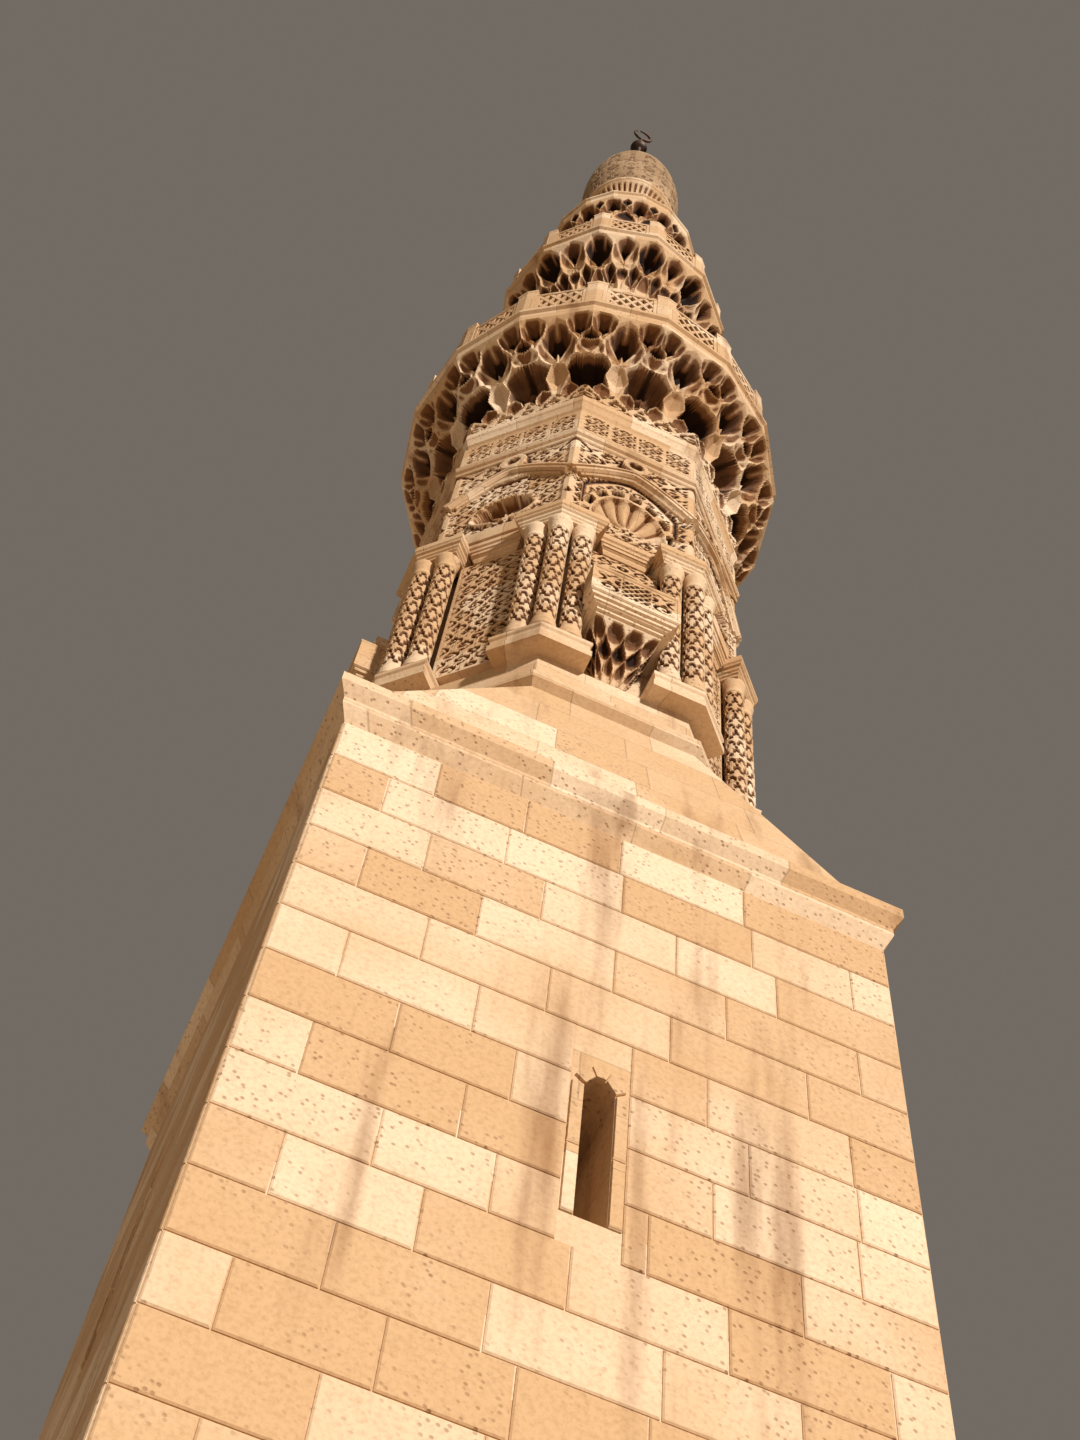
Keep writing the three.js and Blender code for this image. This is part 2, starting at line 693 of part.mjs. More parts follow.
function muqarnas2() {
	const bottom = ROUND_TOP + JOINT;
	const middle = 25080;
	const heights = [bottom, 24900, middle, 25400, 25640, MUQARNAS_2_TOP];
	const rim = (BALCONY_2_CORNER - 30) * Math.cos(Math.PI / 12);
	const reach = (azimuth, height) => {
		const foot = ROUND_OUTSIDE;
		const lower = foot + 130;
		const upper = polygonReach(azimuth, rim, 12, 15);
		if (height <= middle) {
			return cellReach(azimuth, (height - bottom) / (middle - bottom), foot, lower, 24, 7.5);
		}
		return cellReach(azimuth, (height - middle) / (MUQARNAS_2_TOP - middle), lower, upper, 24, 0);
	};
	return corbelled(heights, reach, 48, 0).subtract(stairShaft(ROUND_INSIDE, bottom, MUQARNAS_2_TOP));
}

// Eight slender columns that stand on a low kerb.
function pavilionColumns() {
	const bottom = BALCONY_2_TOP + JOINT;
	const inside = PAVILION_RING - 115;
	const outside = PAVILION_RING + 115;
	const kerb = turned([
		[inside, bottom],
		[outside, bottom],
		[outside, KERB_TOP],
		[inside, KERB_TOP],
		[inside, bottom],
	], 8, CROWN_TURN);
	const radius = PAVILION_COLUMN_RADIUS;
	const profile = [
		[0, KERB_TOP - 10],
		[radius + 22, KERB_TOP - 10],
		[radius, KERB_TOP + 150],
		[radius - 8, PAVILION_COLUMN_TOP - 260],
		[radius + 28, PAVILION_COLUMN_TOP],
		[0, PAVILION_COLUMN_TOP],
	];
	const column = lathed(profile, 8, 0, -PAVILION_RING / Math.cos(Math.PI / 8));
	const columns = [];
	for (let k = 0; k < 8; k++) columns.push(facing(column, CROWN_TURN + 45 * k));
	return joined([kerb, ...columns]);
}

function pavilionBeam() {
	const bottom = PAVILION_COLUMN_TOP + JOINT;
	const inside = PAVILION_RING - 105;
	const outside = PAVILION_RING + 105;
	return turned([
		[inside, bottom],
		[outside, bottom],
		[outside, BEAM_TOP],
		[inside, BEAM_TOP],
		[inside, bottom],
	], 8, CROWN_TURN);
}

function muqarnas3() {
	const bottom = BEAM_TOP + JOINT;
	const heights = [bottom, 28820, 29100, 29320, MUQARNAS_3_TOP];
	const rim = (CROWN_CORNER - 26) * Math.cos(Math.PI / 16);
	const reach = (azimuth, height) => {
		const foot = polygonReach(azimuth, PAVILION_RING + 75, 16, CROWN_TURN + 11.25);
		const upper = polygonReach(azimuth, rim, 16, CROWN_TURN + 11.25);
		return cellReach(azimuth, (height - bottom) / (MUQARNAS_3_TOP - bottom), foot, upper, 16, CROWN_TURN);
	};
	return corbelled(heights, reach, 64, CROWN_TURN);
}

function crownCornice() {
	const bottom = MUQARNAS_3_TOP + JOINT;
	const face = CROWN_CORNER * Math.cos(Math.PI / 16);
	return turned([
		[0, bottom],
		[face - 24, bottom],
		[face - 24, CROWN_TOP - 120],
		[face, CROWN_TOP - 90],
		[face, CROWN_TOP - 35],
		[face - 30, CROWN_TOP],
		[0, CROWN_TOP],
	], 16, CROWN_TURN);
}

function neck() {
	const bottom = CROWN_TOP + JOINT;
	return lathed([
		[0, bottom],
		[NECK_RADIUS + 60, bottom],
		[NECK_RADIUS + 60, bottom + 160],
		[NECK_RADIUS, bottom + 220],
		[NECK_RADIUS, COLLAR_BOTTOM],
		[NECK_RADIUS + 40, COLLAR_BOTTOM + 380],
		[COLLAR_RADIUS - 60, COLLAR_TOP - 200],
		[COLLAR_RADIUS, COLLAR_TOP - 110],
		[COLLAR_RADIUS, COLLAR_TOP],
		[0, COLLAR_TOP],
	], 24);
}

function bulb() {
	const bottom = COLLAR_TOP + JOINT;
	const foot = COLLAR_RADIUS - 40;
	const profile = [[0, bottom], [foot, bottom]];
	for (const share of [0.33, 0.67]) {
		const height = THREE.MathUtils.lerp(bottom, BULB_WIDEST, share);
		profile.push([BULB_RADIUS - (BULB_RADIUS - foot) * (1 - share) ** 2, height]);
	}
	const steps = 7;
	const rise = BULB_TOP - BULB_WIDEST;
	for (let k = 0; k < steps; k++) {
		const angle = (Math.PI / 2) * (k / steps);
		profile.push([BULB_RADIUS * Math.cos(angle), BULB_WIDEST + rise * Math.sin(angle)]);
	}
	profile.push([FINIAL_POLE_RADIUS + 25, BULB_TOP], [0, BULB_TOP]);
	return lathed(profile, 24);
}

// Pole with two lesser balls and the top ball.
function finial() {
	const bottom = BULB_TOP + JOINT;
	const pole = FINIAL_POLE_RADIUS;
	const profile = [[0, bottom], [pole + 25, bottom], [pole, bottom + 90]];
	const addBall = (height, radius) => {
		for (const share of [-0.9, -0.5, 0, 0.5, 0.9]) {
			profile.push([radius * Math.sqrt(1 - share * share), height + radius * share]);
		}
		profile.push([pole * 0.8, height + radius + 20]);
	};
	addBall(36620, 120);
	addBall(37500, 135);
	addBall(FINIAL_BALL_HEIGHT, FINIAL_BALL_RADIUS);
	profile.push([0, FINIAL_BALL_HEIGHT + FINIAL_BALL_RADIUS + 20]);
	return lathed(profile, 10);
}

// Upright ring on a short stem, with a small gap at the top.
function crescent() {
	const foot = FINIAL_BALL_HEIGHT + FINIAL_BALL_RADIUS + 20 + JOINT;
	const section = new THREE.Shape();
	section.absarc(0, 0, CRESCENT_SECTION, 0, 2 * Math.PI);
	class RingArc extends THREE.Curve {
		getPoint(t, target = new THREE.Vector3()) {
			const angle = radians(-171 + 342 * t);
			return target.set(CRESCENT_RADIUS * Math.sin(angle), 0, -CRESCENT_RADIUS * Math.cos(angle));
		}
	}
	const geometry = new THREE.ExtrudeGeometry(section, {
		steps: 16,
		curveSegments: 3,
		extrudePath: new RingArc(),
		bevelEnabled: false,
	});
	geometry.translate(0, 0, CRESCENT_RADIUS);
	geometry.rotateZ(radians(CRESCENT_TURN));
	geometry.translate(0, 0, CRESCENT_STEM);
	const stem = lathed([[0, 0], [32, 0], [24, CRESCENT_STEM], [0, CRESCENT_STEM]], 8);
	return solidOf(geometry).add(stem).translate([0, 0, foot]);
}

const minaret = new THREE.Group();
minaret.name = 'minaret';

function add(name, solid, look = STONE) {
	const mesh = new THREE.Mesh(geometryOf(solid), new THREE.MeshStandardMaterial(look));
	mesh.name = name;
	minaret.add(mesh);
}

add('plinth', plinth());
const sideHalf = BASE_HALF - BASE_WALL - JOINT;
add('base_wall_front', baseWall(BASE_HALF, -90, false));
add('base_wall_back', baseWall(BASE_HALF, 90, true));
add('base_wall_left', baseWall(sideHalf, 180, false));
add('base_wall_right', baseWall(sideHalf, 0, false));
add('base_cornice', baseCornice());
add('transition', transition());

FACES.forEach(({ word, azimuth }) => add(`octagon_wall_${word}`, octagonWall(azimuth)));
FACES.forEach((_, k) => add(`column_cluster_${k + 1}`, columnCluster(OCTAGON_CORNER + 45 * k)));
FACES.filter(({ azimuth }) => azimuth % 90 === 0)
	.forEach(({ word, azimuth }) => add(`small_balcony_${word}`, smallBalcony(azimuth)));
add('octagon_floor', octagonFloor());
add('octagon_band', octagonBand());
add('octagon_cornice', octagonCornice());

add('muqarnas_1', muqarnas1());
add('balcony_1_floor', balconyFloor(MUQARNAS_1_TOP, BALCONY_1_TOP, BALCONY_1_CORNER, 16, 0, 560));
add('balustrade_1_front', balustradeHalf(BALCONY_1_TOP, BALCONY_1_CORNER, 16, true));
add('balustrade_1_back', balustradeHalf(BALCONY_1_TOP, BALCONY_1_CORNER, 16, false));

['front', 'right', 'back', 'left'].forEach((word, k) => {
	add(`round_wall_${word}`, roundWall(ROUND_START + 90 * k, word === 'front' || word === 'back'));
});
add('muqarnas_2', muqarnas2());
add('balcony_2_floor', balconyFloor(MUQARNAS_2_TOP, BALCONY_2_TOP, BALCONY_2_CORNER, 12, 0, 520));
add('balustrade_2_front', balustradeHalf(BALCONY_2_TOP, BALCONY_2_CORNER, 12, true));
add('balustrade_2_back', balustradeHalf(BALCONY_2_TOP, BALCONY_2_CORNER, 12, false));

add('pavilion_columns', pavilionColumns());
add('pavilion_beam', pavilionBeam());
add('muqarnas_3', muqarnas3());
add('crown_cornice', crownCornice());
add('neck', neck());
add('bulb', bulb(), BULB_STONE);
add('finial', finial(), BRONZE);
add('crescent', crescent(), BRONZE);

export default minaret;
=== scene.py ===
# %% [markdown]
# # A carved stone minaret
#
# The object is a slim tower of golden limestone, about 39 m high: a square base, an octagonal storey
# rich in carving, two balconies on stalactite corbels, an open pavilion and a stone bulb. The packed
# solids give every size, so this lesson starts by loading them as a fixed frame. Each cell then makes
# one piece of the tower in its final place, in metres, with the ground at height 0.

# %% Load the frame
import json
import math

import bmesh
import bpy
import numpy as np
from mathutils import Matrix, Vector

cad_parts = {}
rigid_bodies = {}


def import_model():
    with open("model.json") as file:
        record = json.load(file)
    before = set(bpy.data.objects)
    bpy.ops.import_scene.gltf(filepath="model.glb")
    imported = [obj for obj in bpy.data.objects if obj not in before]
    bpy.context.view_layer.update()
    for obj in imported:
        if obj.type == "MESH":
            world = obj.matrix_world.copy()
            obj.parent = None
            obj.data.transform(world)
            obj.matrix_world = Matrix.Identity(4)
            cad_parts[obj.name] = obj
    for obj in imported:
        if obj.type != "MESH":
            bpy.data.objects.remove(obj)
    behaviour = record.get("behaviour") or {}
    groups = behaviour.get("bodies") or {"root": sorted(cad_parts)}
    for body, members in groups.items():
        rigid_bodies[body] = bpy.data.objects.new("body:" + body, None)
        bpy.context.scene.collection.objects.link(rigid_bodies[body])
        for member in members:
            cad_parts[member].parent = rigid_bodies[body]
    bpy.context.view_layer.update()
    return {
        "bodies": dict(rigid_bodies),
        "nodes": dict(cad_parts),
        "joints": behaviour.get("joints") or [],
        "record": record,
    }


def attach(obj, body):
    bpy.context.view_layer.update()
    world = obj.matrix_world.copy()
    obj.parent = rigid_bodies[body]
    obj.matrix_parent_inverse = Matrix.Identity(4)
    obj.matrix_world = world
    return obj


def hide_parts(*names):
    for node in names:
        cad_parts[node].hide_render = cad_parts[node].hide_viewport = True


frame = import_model()
solids = frame["nodes"]

# %% [markdown]
# ## Sizes
#
# A mason works from a few heights and widths. They are the same values as in the solids, because a
# piece that stands for a solid has to stay where that solid is. Widths of many-sided storeys are
# given as the distance from the tower's axis to the middle of a face, or to a corner where the name
# says so.

# %% Heights and widths
OCTAGON_FACE = 1.31
OCTAGON_INSIDE = 0.88
OCTAGON_CORNER = -112.5
NICHE_FACE = 1.16
HEAD_BOTTOM, HEAD_TOP = 16.0, 17.87
BAND_BOTTOM, CORNICE_TOP = 17.8703, 18.94
LEDGE_BOTTOM, LEDGE_TOP = 15.70, 15.95
FOOTING_BOTTOM, FOOTING_TOP = 13.4503, 13.70
STALACTITES_1 = (18.9403, 20.43)
STALACTITES_2 = (24.6003, 25.83)
STALACTITES_3 = (28.4803, 29.50)
RIM_1_CORNER, RIM_2_CORNER, RIM_3_CORNER = 1.852, 1.383, 1.031
ROUND_RADIUS = 1.0
BALCONY_1 = {"top": 20.77, "corner": 1.882, "sides": 16}
BALCONY_2 = {"top": 26.11, "corner": 1.413, "sides": 12}
CROWN_TURN = -120
half_side = OCTAGON_FACE * math.tan(math.pi / 8)
print("octagon side", round(2 * half_side, 3), "m")

# %% [markdown]
# ## Node arithmetic
#
# Stone finishes and repeated ornament are both built from nodes. Writing node links by hand hides the
# idea, so a socket is wrapped in a small class: adding two wrapped sockets adds a Math node. The same
# class serves shader trees and Geometry Nodes trees.


# %% Wires and graphs
class Wire:
    """One output socket that takes part in Python arithmetic."""

    def __init__(self, graph, socket):
        self.graph, self.socket = graph, socket

    def __add__(self, other):
        return self.graph.math("ADD", self, other)

    def __sub__(self, other):
        return self.graph.math("SUBTRACT", self, other)

    def __rsub__(self, other):
        return self.graph.math("SUBTRACT", other, self)

    def __mul__(self, other):
        return self.graph.math("MULTIPLY", self, other)

    def __truediv__(self, other):
        return self.graph.math("DIVIDE", self, other)

    __radd__ = __add__
    __rmul__ = __mul__


class Graph:
    """A node tree with one way to add any node."""

    def __init__(self, tree):
        self.tree = tree

    def node(self, kind, settings=None, sockets=None, out=0):
        made = self.tree.nodes.new(kind)
        for key, value in (settings or {}).items():
            setattr(made, key, value)
        for key, value in (sockets or {}).items():
            wires = value if isinstance(value, list) else [value]
            for wire in wires:
                if isinstance(wire, Wire):
                    self.tree.links.new(wire.socket, made.inputs[key])
                else:
                    made.inputs[key].default_value = wire
        if out is None:
            return made
        if isinstance(out, tuple):
            return [Wire(self, made.outputs[name]) for name in out]
        return Wire(self, made.outputs[out])

    def math(self, operation, *values):
        return self.node("ShaderNodeMath", {"operation": operation}, dict(enumerate(values)))

    def step(self, low, high, value):
        settings = {"interpolation_type": "SMOOTHSTEP"}
        return self.node("ShaderNodeMapRange", settings, {"Value": value, 1: low, 2: high, 3: 0.0, 4: 1.0})

    def mix(self, factor, first, second):
        return self.node("ShaderNodeMix", {"data_type": "RGBA"}, {0: factor, 6: first, 7: second}, out=2)


print("node arithmetic ready")

# %% [markdown]
# ## Limestone
#
# The tower is built of blocks of one golden limestone that has weathered unevenly: each block has its
# own tone, rain has left darker streaks and small pits mark the face. On carved work the joints run in
# level courses round the tower, so they are worked out from the height and from the angle about the
# axis, both read from Object coordinates. Where the blocks are real geometry, the finish has no joints,
# and each block's tone comes with its mesh. Carved pieces carry an attribute for painted shade and
# dust, 0 on a crest and 1 deep in the carving, where the painted shade makes the stone almost black.


# %% Stone finish
def colour(red, green, blue):
    """A colour with full alpha, as Blender's sockets want it."""
    return (red, green, blue, 1.0)


def stone_finish(name, pale, warm, dark, deep, course=0.36, blocks=16, joints=True):
    material = bpy.data.materials.new(name)
    material.use_nodes = True
    material.node_tree.nodes.clear()
    g = Graph(material.node_tree)
    place = g.node("ShaderNodeTexCoord", out="Object")
    x, y, z = g.node("ShaderNodeSeparateXYZ", sockets={0: place}, out=("X", "Y", "Z"))
    clouds = g.node("ShaderNodeTexNoise", sockets={"Vector": place, "Scale": 0.9, "Detail": 5.0})
    if joints:
        level = (z + clouds * 0.03) / course
        row = g.math("FLOOR", level)
        turn = g.math("ARCTAN2", y, x) * (blocks / (2 * math.pi)) + row * 0.5
        turn = turn + g.math("SINE", row * 2.7) * 0.18
        across = g.math("PINGPONG", turn, 0.5) * 0.5
        upward = g.math("PINGPONG", level, 0.5) * course
        joint = 1 - g.step(0.001, 0.005, g.math("MINIMUM", across, upward))
        block = g.node("ShaderNodeCombineXYZ", sockets={0: row, 1: g.math("FLOOR", turn), 2: 0.0})
        block_tone = g.node("ShaderNodeTexWhiteNoise", sockets={"Vector": block}, out="Value")
    else:
        block_tone = g.node("ShaderNodeAttribute", {"attribute_name": "block"}, out="Fac")
        joint = block_tone * 0.0
    streak_place = g.node("ShaderNodeMapping", sockets={"Vector": place, "Scale": (4.0, 4.0, 0.4)})
    streaks = g.node("ShaderNodeTexNoise", sockets={"Vector": streak_place, "Scale": 1.0, "Detail": 4.0})
    fine = {"Vector": place, "Scale": 38.0, "Detail": 6.0, "Roughness": 0.65}
    grain = g.node("ShaderNodeTexNoise", sockets=fine)
    pits = g.node("ShaderNodeTexVoronoi", sockets={"Vector": place, "Scale": 24.0, "Randomness": 1.0})
    pit = (1 - g.step(0.10, 0.30, pits)) * g.step(0.45, 0.6, clouds)
    dust_and_shade = g.node("ShaderNodeAttribute", {"attribute_name": "dust_and_shade"}, out="Fac")

    tone = g.mix(g.step(0.38, 0.80, clouds * 0.6 + block_tone * 0.4), warm, pale)
    tone = g.mix(g.step(0.55, 0.78, streaks) * 0.6, tone, dark)
    tone = g.mix(g.step(0.4, 0.75, grain) * 0.25, tone, dark)
    # Painted shade, with some dust: the carving's attribute darkens the hollows to brown and, deepest,
    # almost black.
    tone = g.mix(g.math("MAXIMUM", g.step(0.06, 0.34, dust_and_shade) * 0.9, pit * 0.5), tone, dark)
    tone = g.mix(g.math("MAXIMUM", g.step(0.45, 0.80, dust_and_shade) * 0.97, joint * 0.25), tone, deep)
    relief = grain * 0.25 - pit * 0.7 - joint * 0.3 + clouds * 0.3
    normal = g.node("ShaderNodeBump", sockets={"Strength": 0.55, "Distance": 0.012, "Height": relief})
    rough = 0.82 + grain * 0.15
    shader = g.node(
        "ShaderNodeBsdfPrincipled",
        sockets={"Base Color": tone, "Roughness": rough, "Normal": normal, "Specular IOR Level": 0.2},
    )
    g.node("ShaderNodeOutputMaterial", sockets={"Surface": shader}, out=None)
    return material


golden = {
    "pale": colour(0.76, 0.575, 0.395), "warm": colour(0.56, 0.35, 0.185),
    "dark": colour(0.165, 0.056, 0.014), "deep": colour(0.014, 0.004, 0.001),
}
limestone = stone_finish("limestone", **golden)
ashlar = stone_finish("ashlar", **golden, joints=False)
worn_limestone = stone_finish(
    "worn_limestone", colour(0.46, 0.30, 0.175), colour(0.32, 0.20, 0.105), colour(0.13, 0.065, 0.028),
    colour(0.035, 0.015, 0.006), course=0.3, blocks=12,
)
print("finishes:", limestone.name, ashlar.name, worn_limestone.name)

# %% [markdown]
# ## Bronze
#
# The finial is metal that has gone brown and dull outdoors. Only the raised parts still shine a
# little, so roughness follows a noise and the colour turns from brown to almost black.


# %% Bronze finish
def bronze_finish():
    material = bpy.data.materials.new("dark_bronze")
    material.use_nodes = True
    material.node_tree.nodes.clear()
    g = Graph(material.node_tree)
    place = g.node("ShaderNodeTexCoord", out="Object")
    patches = g.node("ShaderNodeTexNoise", sockets={"Vector": place, "Scale": 9.0, "Detail": 6.0})
    tone = g.mix(g.step(0.35, 0.7, patches), colour(0.03, 0.017, 0.012), colour(0.10, 0.055, 0.032))
    normal = g.node("ShaderNodeBump", sockets={"Strength": 0.3, "Distance": 0.004, "Height": patches})
    shader = g.node(
        "ShaderNodeBsdfPrincipled",
        sockets={"Base Color": tone, "Metallic": 0.75, "Roughness": 0.4 + patches * 0.35, "Normal": normal},
    )
    g.node("ShaderNodeOutputMaterial", sockets={"Surface": shader}, out=None)
    return material


dark_bronze = bronze_finish()
print("finish:", dark_bronze.name)

# %% [markdown]
# ## From numbers to a mesh
#
# Most carved pieces are surfaces worked out row by row, so a few helpers come first. They list the
# faces of a grid of points, or of a tube with its ends closed, and turn points and faces into an
# object with its attribute of painted shade and dust. Every object stays at the origin, with its place in
# its mesh.


# %% Mesh helpers
def grid_faces(rows, columns, closed_rows=False, closed_columns=False):
    """Four-cornered faces between the points of a grid, which may close on itself."""
    row = np.arange(rows if closed_rows else rows - 1)[:, None]
    column = np.arange(columns if closed_columns else columns - 1)[None, :]
    next_row, next_column = (row + 1) % rows, (column + 1) % columns
    corners = [
        row * columns + column, row * columns + next_column,
        next_row * columns + next_column, next_row * columns + column,
    ]
    return np.stack(np.broadcast_arrays(*corners), -1).reshape(-1, 4)


def capped_loops(loops, count):
    """Faces of a tube of closed loops, one above the other, with both ends closed."""
    faces = [list(f) for f in grid_faces(loops, count, closed_columns=True)]
    return faces + [list(range(count))[::-1], list(range((loops - 1) * count, loops * count))]


def capped_strips(strips, count):
    """Faces of a bar whose strips of points run from end to end, with both ends closed."""
    faces = [list(f) for f in grid_faces(strips, count, closed_rows=True)]
    first = list(range(0, strips * count, count))
    return faces + [first, [corner + count - 1 for corner in first][::-1]]


def new_piece(name, points, faces, dust_and_shade=None, smooth_faces=False):
    """A linked object from points and faces, with the painted shade and dust of the carving at each point.
    """
    mesh = bpy.data.meshes.new(name)
    corners = [tuple(point) for point in np.asarray(points, float)]
    mesh.from_pydata(corners, [], [tuple(map(int, face)) for face in faces])
    if dust_and_shade is not None:
        values = mesh.attributes.new("dust_and_shade", "FLOAT", "POINT")
        values.data.foreach_set("value", np.clip(dust_and_shade, 0, 1).astype(np.float32).ravel())
    if smooth_faces:
        mesh.polygons.foreach_set("use_smooth", [True] * len(mesh.polygons))
    piece = bpy.data.objects.new(name, mesh)
    bpy.context.scene.collection.objects.link(piece)
    return piece


def object_from(name, whole):
    """An object with the mesh that was built in a bmesh, which is freed."""
    mesh = bpy.data.meshes.new(name)
    whole.to_mesh(mesh)
    whole.free()
    one = bpy.data.objects.new(name, mesh)
    bpy.context.scene.collection.objects.link(one)
    return one


def joined(name, pieces):
    """One object from several, with every point kept where it is."""
    whole = bmesh.new()
    for layer in ("dust_and_shade", "block"):
        whole.verts.layers.float.new(layer)
    for piece in pieces:
        whole.from_mesh(piece.data)
    for piece in pieces:
        old = piece.data
        bpy.data.objects.remove(piece)
        bpy.data.meshes.remove(old)
    return object_from(name, whole)


def faced_outwards(piece):
    """The same piece with every face turned outwards."""
    mended = bmesh.new()
    mended.from_mesh(piece.data)
    bmesh.ops.recalc_face_normals(mended, faces=mended.faces)
    mended.to_mesh(piece.data)
    mended.free()
    return piece


print("mesh helpers ready")

# %% [markdown]
# ## Setting a piece in its place
#
# Nothing on the tower moves, so every finished piece rides on the tower's one body. It gets its
# material and names the solids that it stands for, which are then hidden. Its triangles are counted,
# because carving soon makes too many.


# %% Setting in place
total_triangles = {}


def triangles(piece):
    return sum(len(face.vertices) - 2 for face in piece.data.polygons)


def nodes_named(start):
    """Names of the solids that begin with a word."""
    return sorted(name for name in solids if name.startswith(start))


def set_in_place(piece, material, slot, *nodes):
    """Gives a piece its material and its body, and names the solids it stands for, which it hides. The slot
    is not used.
    """
    if not piece.data.materials:
        piece.data.materials.append(material)
    else:
        piece.data.materials[0] = material
    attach(piece, "root")
    if nodes:
        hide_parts(*nodes)
    total_triangles[piece.name] = triangles(piece)
    print(piece.name, total_triangles[piece.name], "triangles")
    return piece


print("setting in place ready")

# %% [markdown]
# ## Repeating a piece round the tower
#
# A tower is the same few stones repeated round an axis. A Geometry Nodes tree does it: it puts points
# on the axis, instances the piece on each with its own turn, realizes the instances and welds the
# seams between neighbours. The inputs are the number of copies, the first turn, the turn between two
# copies and the material. The same two helpers for a tree's inputs and its end serve the trees for
# shafts and for pierced panels further on.


# %% Trees with named inputs
def tree_with_inputs(name, kinds):
    """A new Geometry Nodes tree: its graph, and one wire for each named input."""
    tree = bpy.data.node_groups.new(name, "GeometryNodeTree")
    for title, kind in kinds.items():
        tree.interface.new_socket(title, in_out="INPUT", socket_type=f"NodeSocket{kind}")
    tree.interface.new_socket("Geometry", in_out="OUTPUT", socket_type="NodeSocketGeometry")
    graph = Graph(tree)
    return graph, graph.node("NodeGroupInput", out=tuple(kinds))


def end_tree(graph, shape, material):
    """Gives the shape its material and makes it what the tree returns."""
    dressed = graph.node("GeometryNodeSetMaterial", sockets={"Geometry": shape, "Material": material})
    graph.node("NodeGroupOutput", sockets={"Geometry": dressed}, out=None)
    return graph.tree


# %% The tree for copies round the axis
WELD = 0.0002


def round_axis_tree():
    g, (shape, copies, first, between, material) = tree_with_inputs("copies_round_axis", {
        "Geometry": "Geometry", "Copies": "Int", "First turn": "Float", "Turn between": "Float",
        "Material": "Material",
    })
    points = g.node("GeometryNodePoints", sockets={"Count": copies})
    number = g.node("GeometryNodeInputIndex")
    turn = g.math("RADIANS", first + number * between)
    rotation = g.node("ShaderNodeCombineXYZ", sockets={2: turn})
    copied = {"Points": points, "Instance": shape, "Rotation": rotation}
    placed = g.node("GeometryNodeInstanceOnPoints", sockets=copied)
    real = g.node("GeometryNodeRealizeInstances", sockets={"Geometry": placed})
    welded = g.node("GeometryNodeMergeByDistance", sockets={"Geometry": real, "Distance": WELD})
    return end_tree(g, welded, material)


def run_tree(piece, tree, **values):
    """Runs a tree on a piece and keeps the result as a plain mesh."""
    modifier = piece.modifiers.new(tree.name, "NODES")
    modifier.node_group = tree
    names = {item.name: item.identifier for item in tree.interface.items_tree if item.in_out == "INPUT"}
    for name, value in values.items():
        modifier[names[name.replace("_", " ")]] = value
    piece.update_tag()
    depsgraph = bpy.context.evaluated_depsgraph_get()
    mesh = bpy.data.meshes.new_from_object(piece.evaluated_get(depsgraph), preserve_all_data_layers=True,
                                           depsgraph=depsgraph)
    piece.modifiers.clear()
    old, piece.data = piece.data, mesh
    mesh.name = piece.name
    bpy.data.meshes.remove(old)
    return piece


copies_round_axis = round_axis_tree()


def repeat(piece, copies, material=None):
    """The piece copied evenly round the tower's axis."""
    return run_tree(piece, copies_round_axis, Copies=copies, First_turn=0.0,
                    Turn_between=360.0 / copies, Material=material or limestone)


print("tree:", copies_round_axis.name)

# %% [markdown]
# ## Rings of carved stone
#
# A storey's carving is a surface whose distance from the axis depends on the direction and on the
# height. Sculpting or cutting it with booleans would be slow and would leave poor meshes, so one
# sector is worked out on a grid, closed behind with a plain inner face, and repeated. The helpers
# below give a polygon's reach in each direction, find the crevices of a relief and build the sector.


# %% Sector of a carved ring
def smooth(low, high, value):
    """0 below low, 1 above high and a soft step between them."""
    t = np.clip((value - low) / (high - low), 0, 1)
    return t * t * (3 - 2 * t)


def polygon_reach(azimuth, face, sides, first_face):
    """Distance from the axis to a polygon's outline in each direction."""
    step = 360 / sides
    off = (azimuth - first_face + step / 2) % step - step / 2
    return face / np.cos(np.radians(off))


def soften(values, times):
    """Each value mixed with its neighbours, a number of times over."""
    for _ in range(times):
        for axis in (0, 1):
            ahead, behind = np.roll(values, 1, axis), np.roll(values, -1, axis)
            values = (values * 2 + ahead + behind) / 4
    return values


def crevices(relief, reach, depth):
    """1 where the surface lies well below its surroundings, and 0 on a crest."""
    return np.clip((soften(relief, reach) - relief) / depth, 0, 1)


def ring_sector(name, azimuth, height, radius, inner, dust_and_shade=None):
    """One sector of a ring: the carved surface in front and a plain inner face behind."""
    rows, columns = radius.shape
    inner = np.broadcast_to(inner, (columns,))
    whole = np.vstack([inner, radius, inner])
    level = np.concatenate([[height[0]], height, [height[-1]]])
    level = np.repeat(level[:, None], columns, 1)
    angle = np.radians(azimuth)
    points = np.stack([whole * np.cos(angle), whole * np.sin(angle), level], -1)
    tone = np.zeros_like(whole)
    if dust_and_shade is not None:
        tone[1:-1] = dust_and_shade
    faces = grid_faces(rows + 2, columns, closed_rows=True)
    return new_piece(name, points.reshape(-1, 3), faces, tone)


def face_columns(steps, face=OCTAGON_FACE):
    """Columns evenly spaced on a whole octagon face, with half a face on each side of it."""
    half = face * math.tan(math.pi / 8)
    across = np.linspace(-half, half, 2 * steps + 1)
    middle = np.degrees(np.arctan(across / face))
    left, right = middle[steps:] - 45, middle[:steps + 1] + 45
    azimuth = np.concatenate([left[:-1], middle, right[1:]]) - 90
    x = np.concatenate([across[steps:-1], across, across[1:steps + 1]])
    diagonal = np.concatenate([np.ones(steps), np.zeros(2 * steps + 1), np.ones(steps)]) > 0
    return azimuth, x, diagonal


print("ring helpers ready")
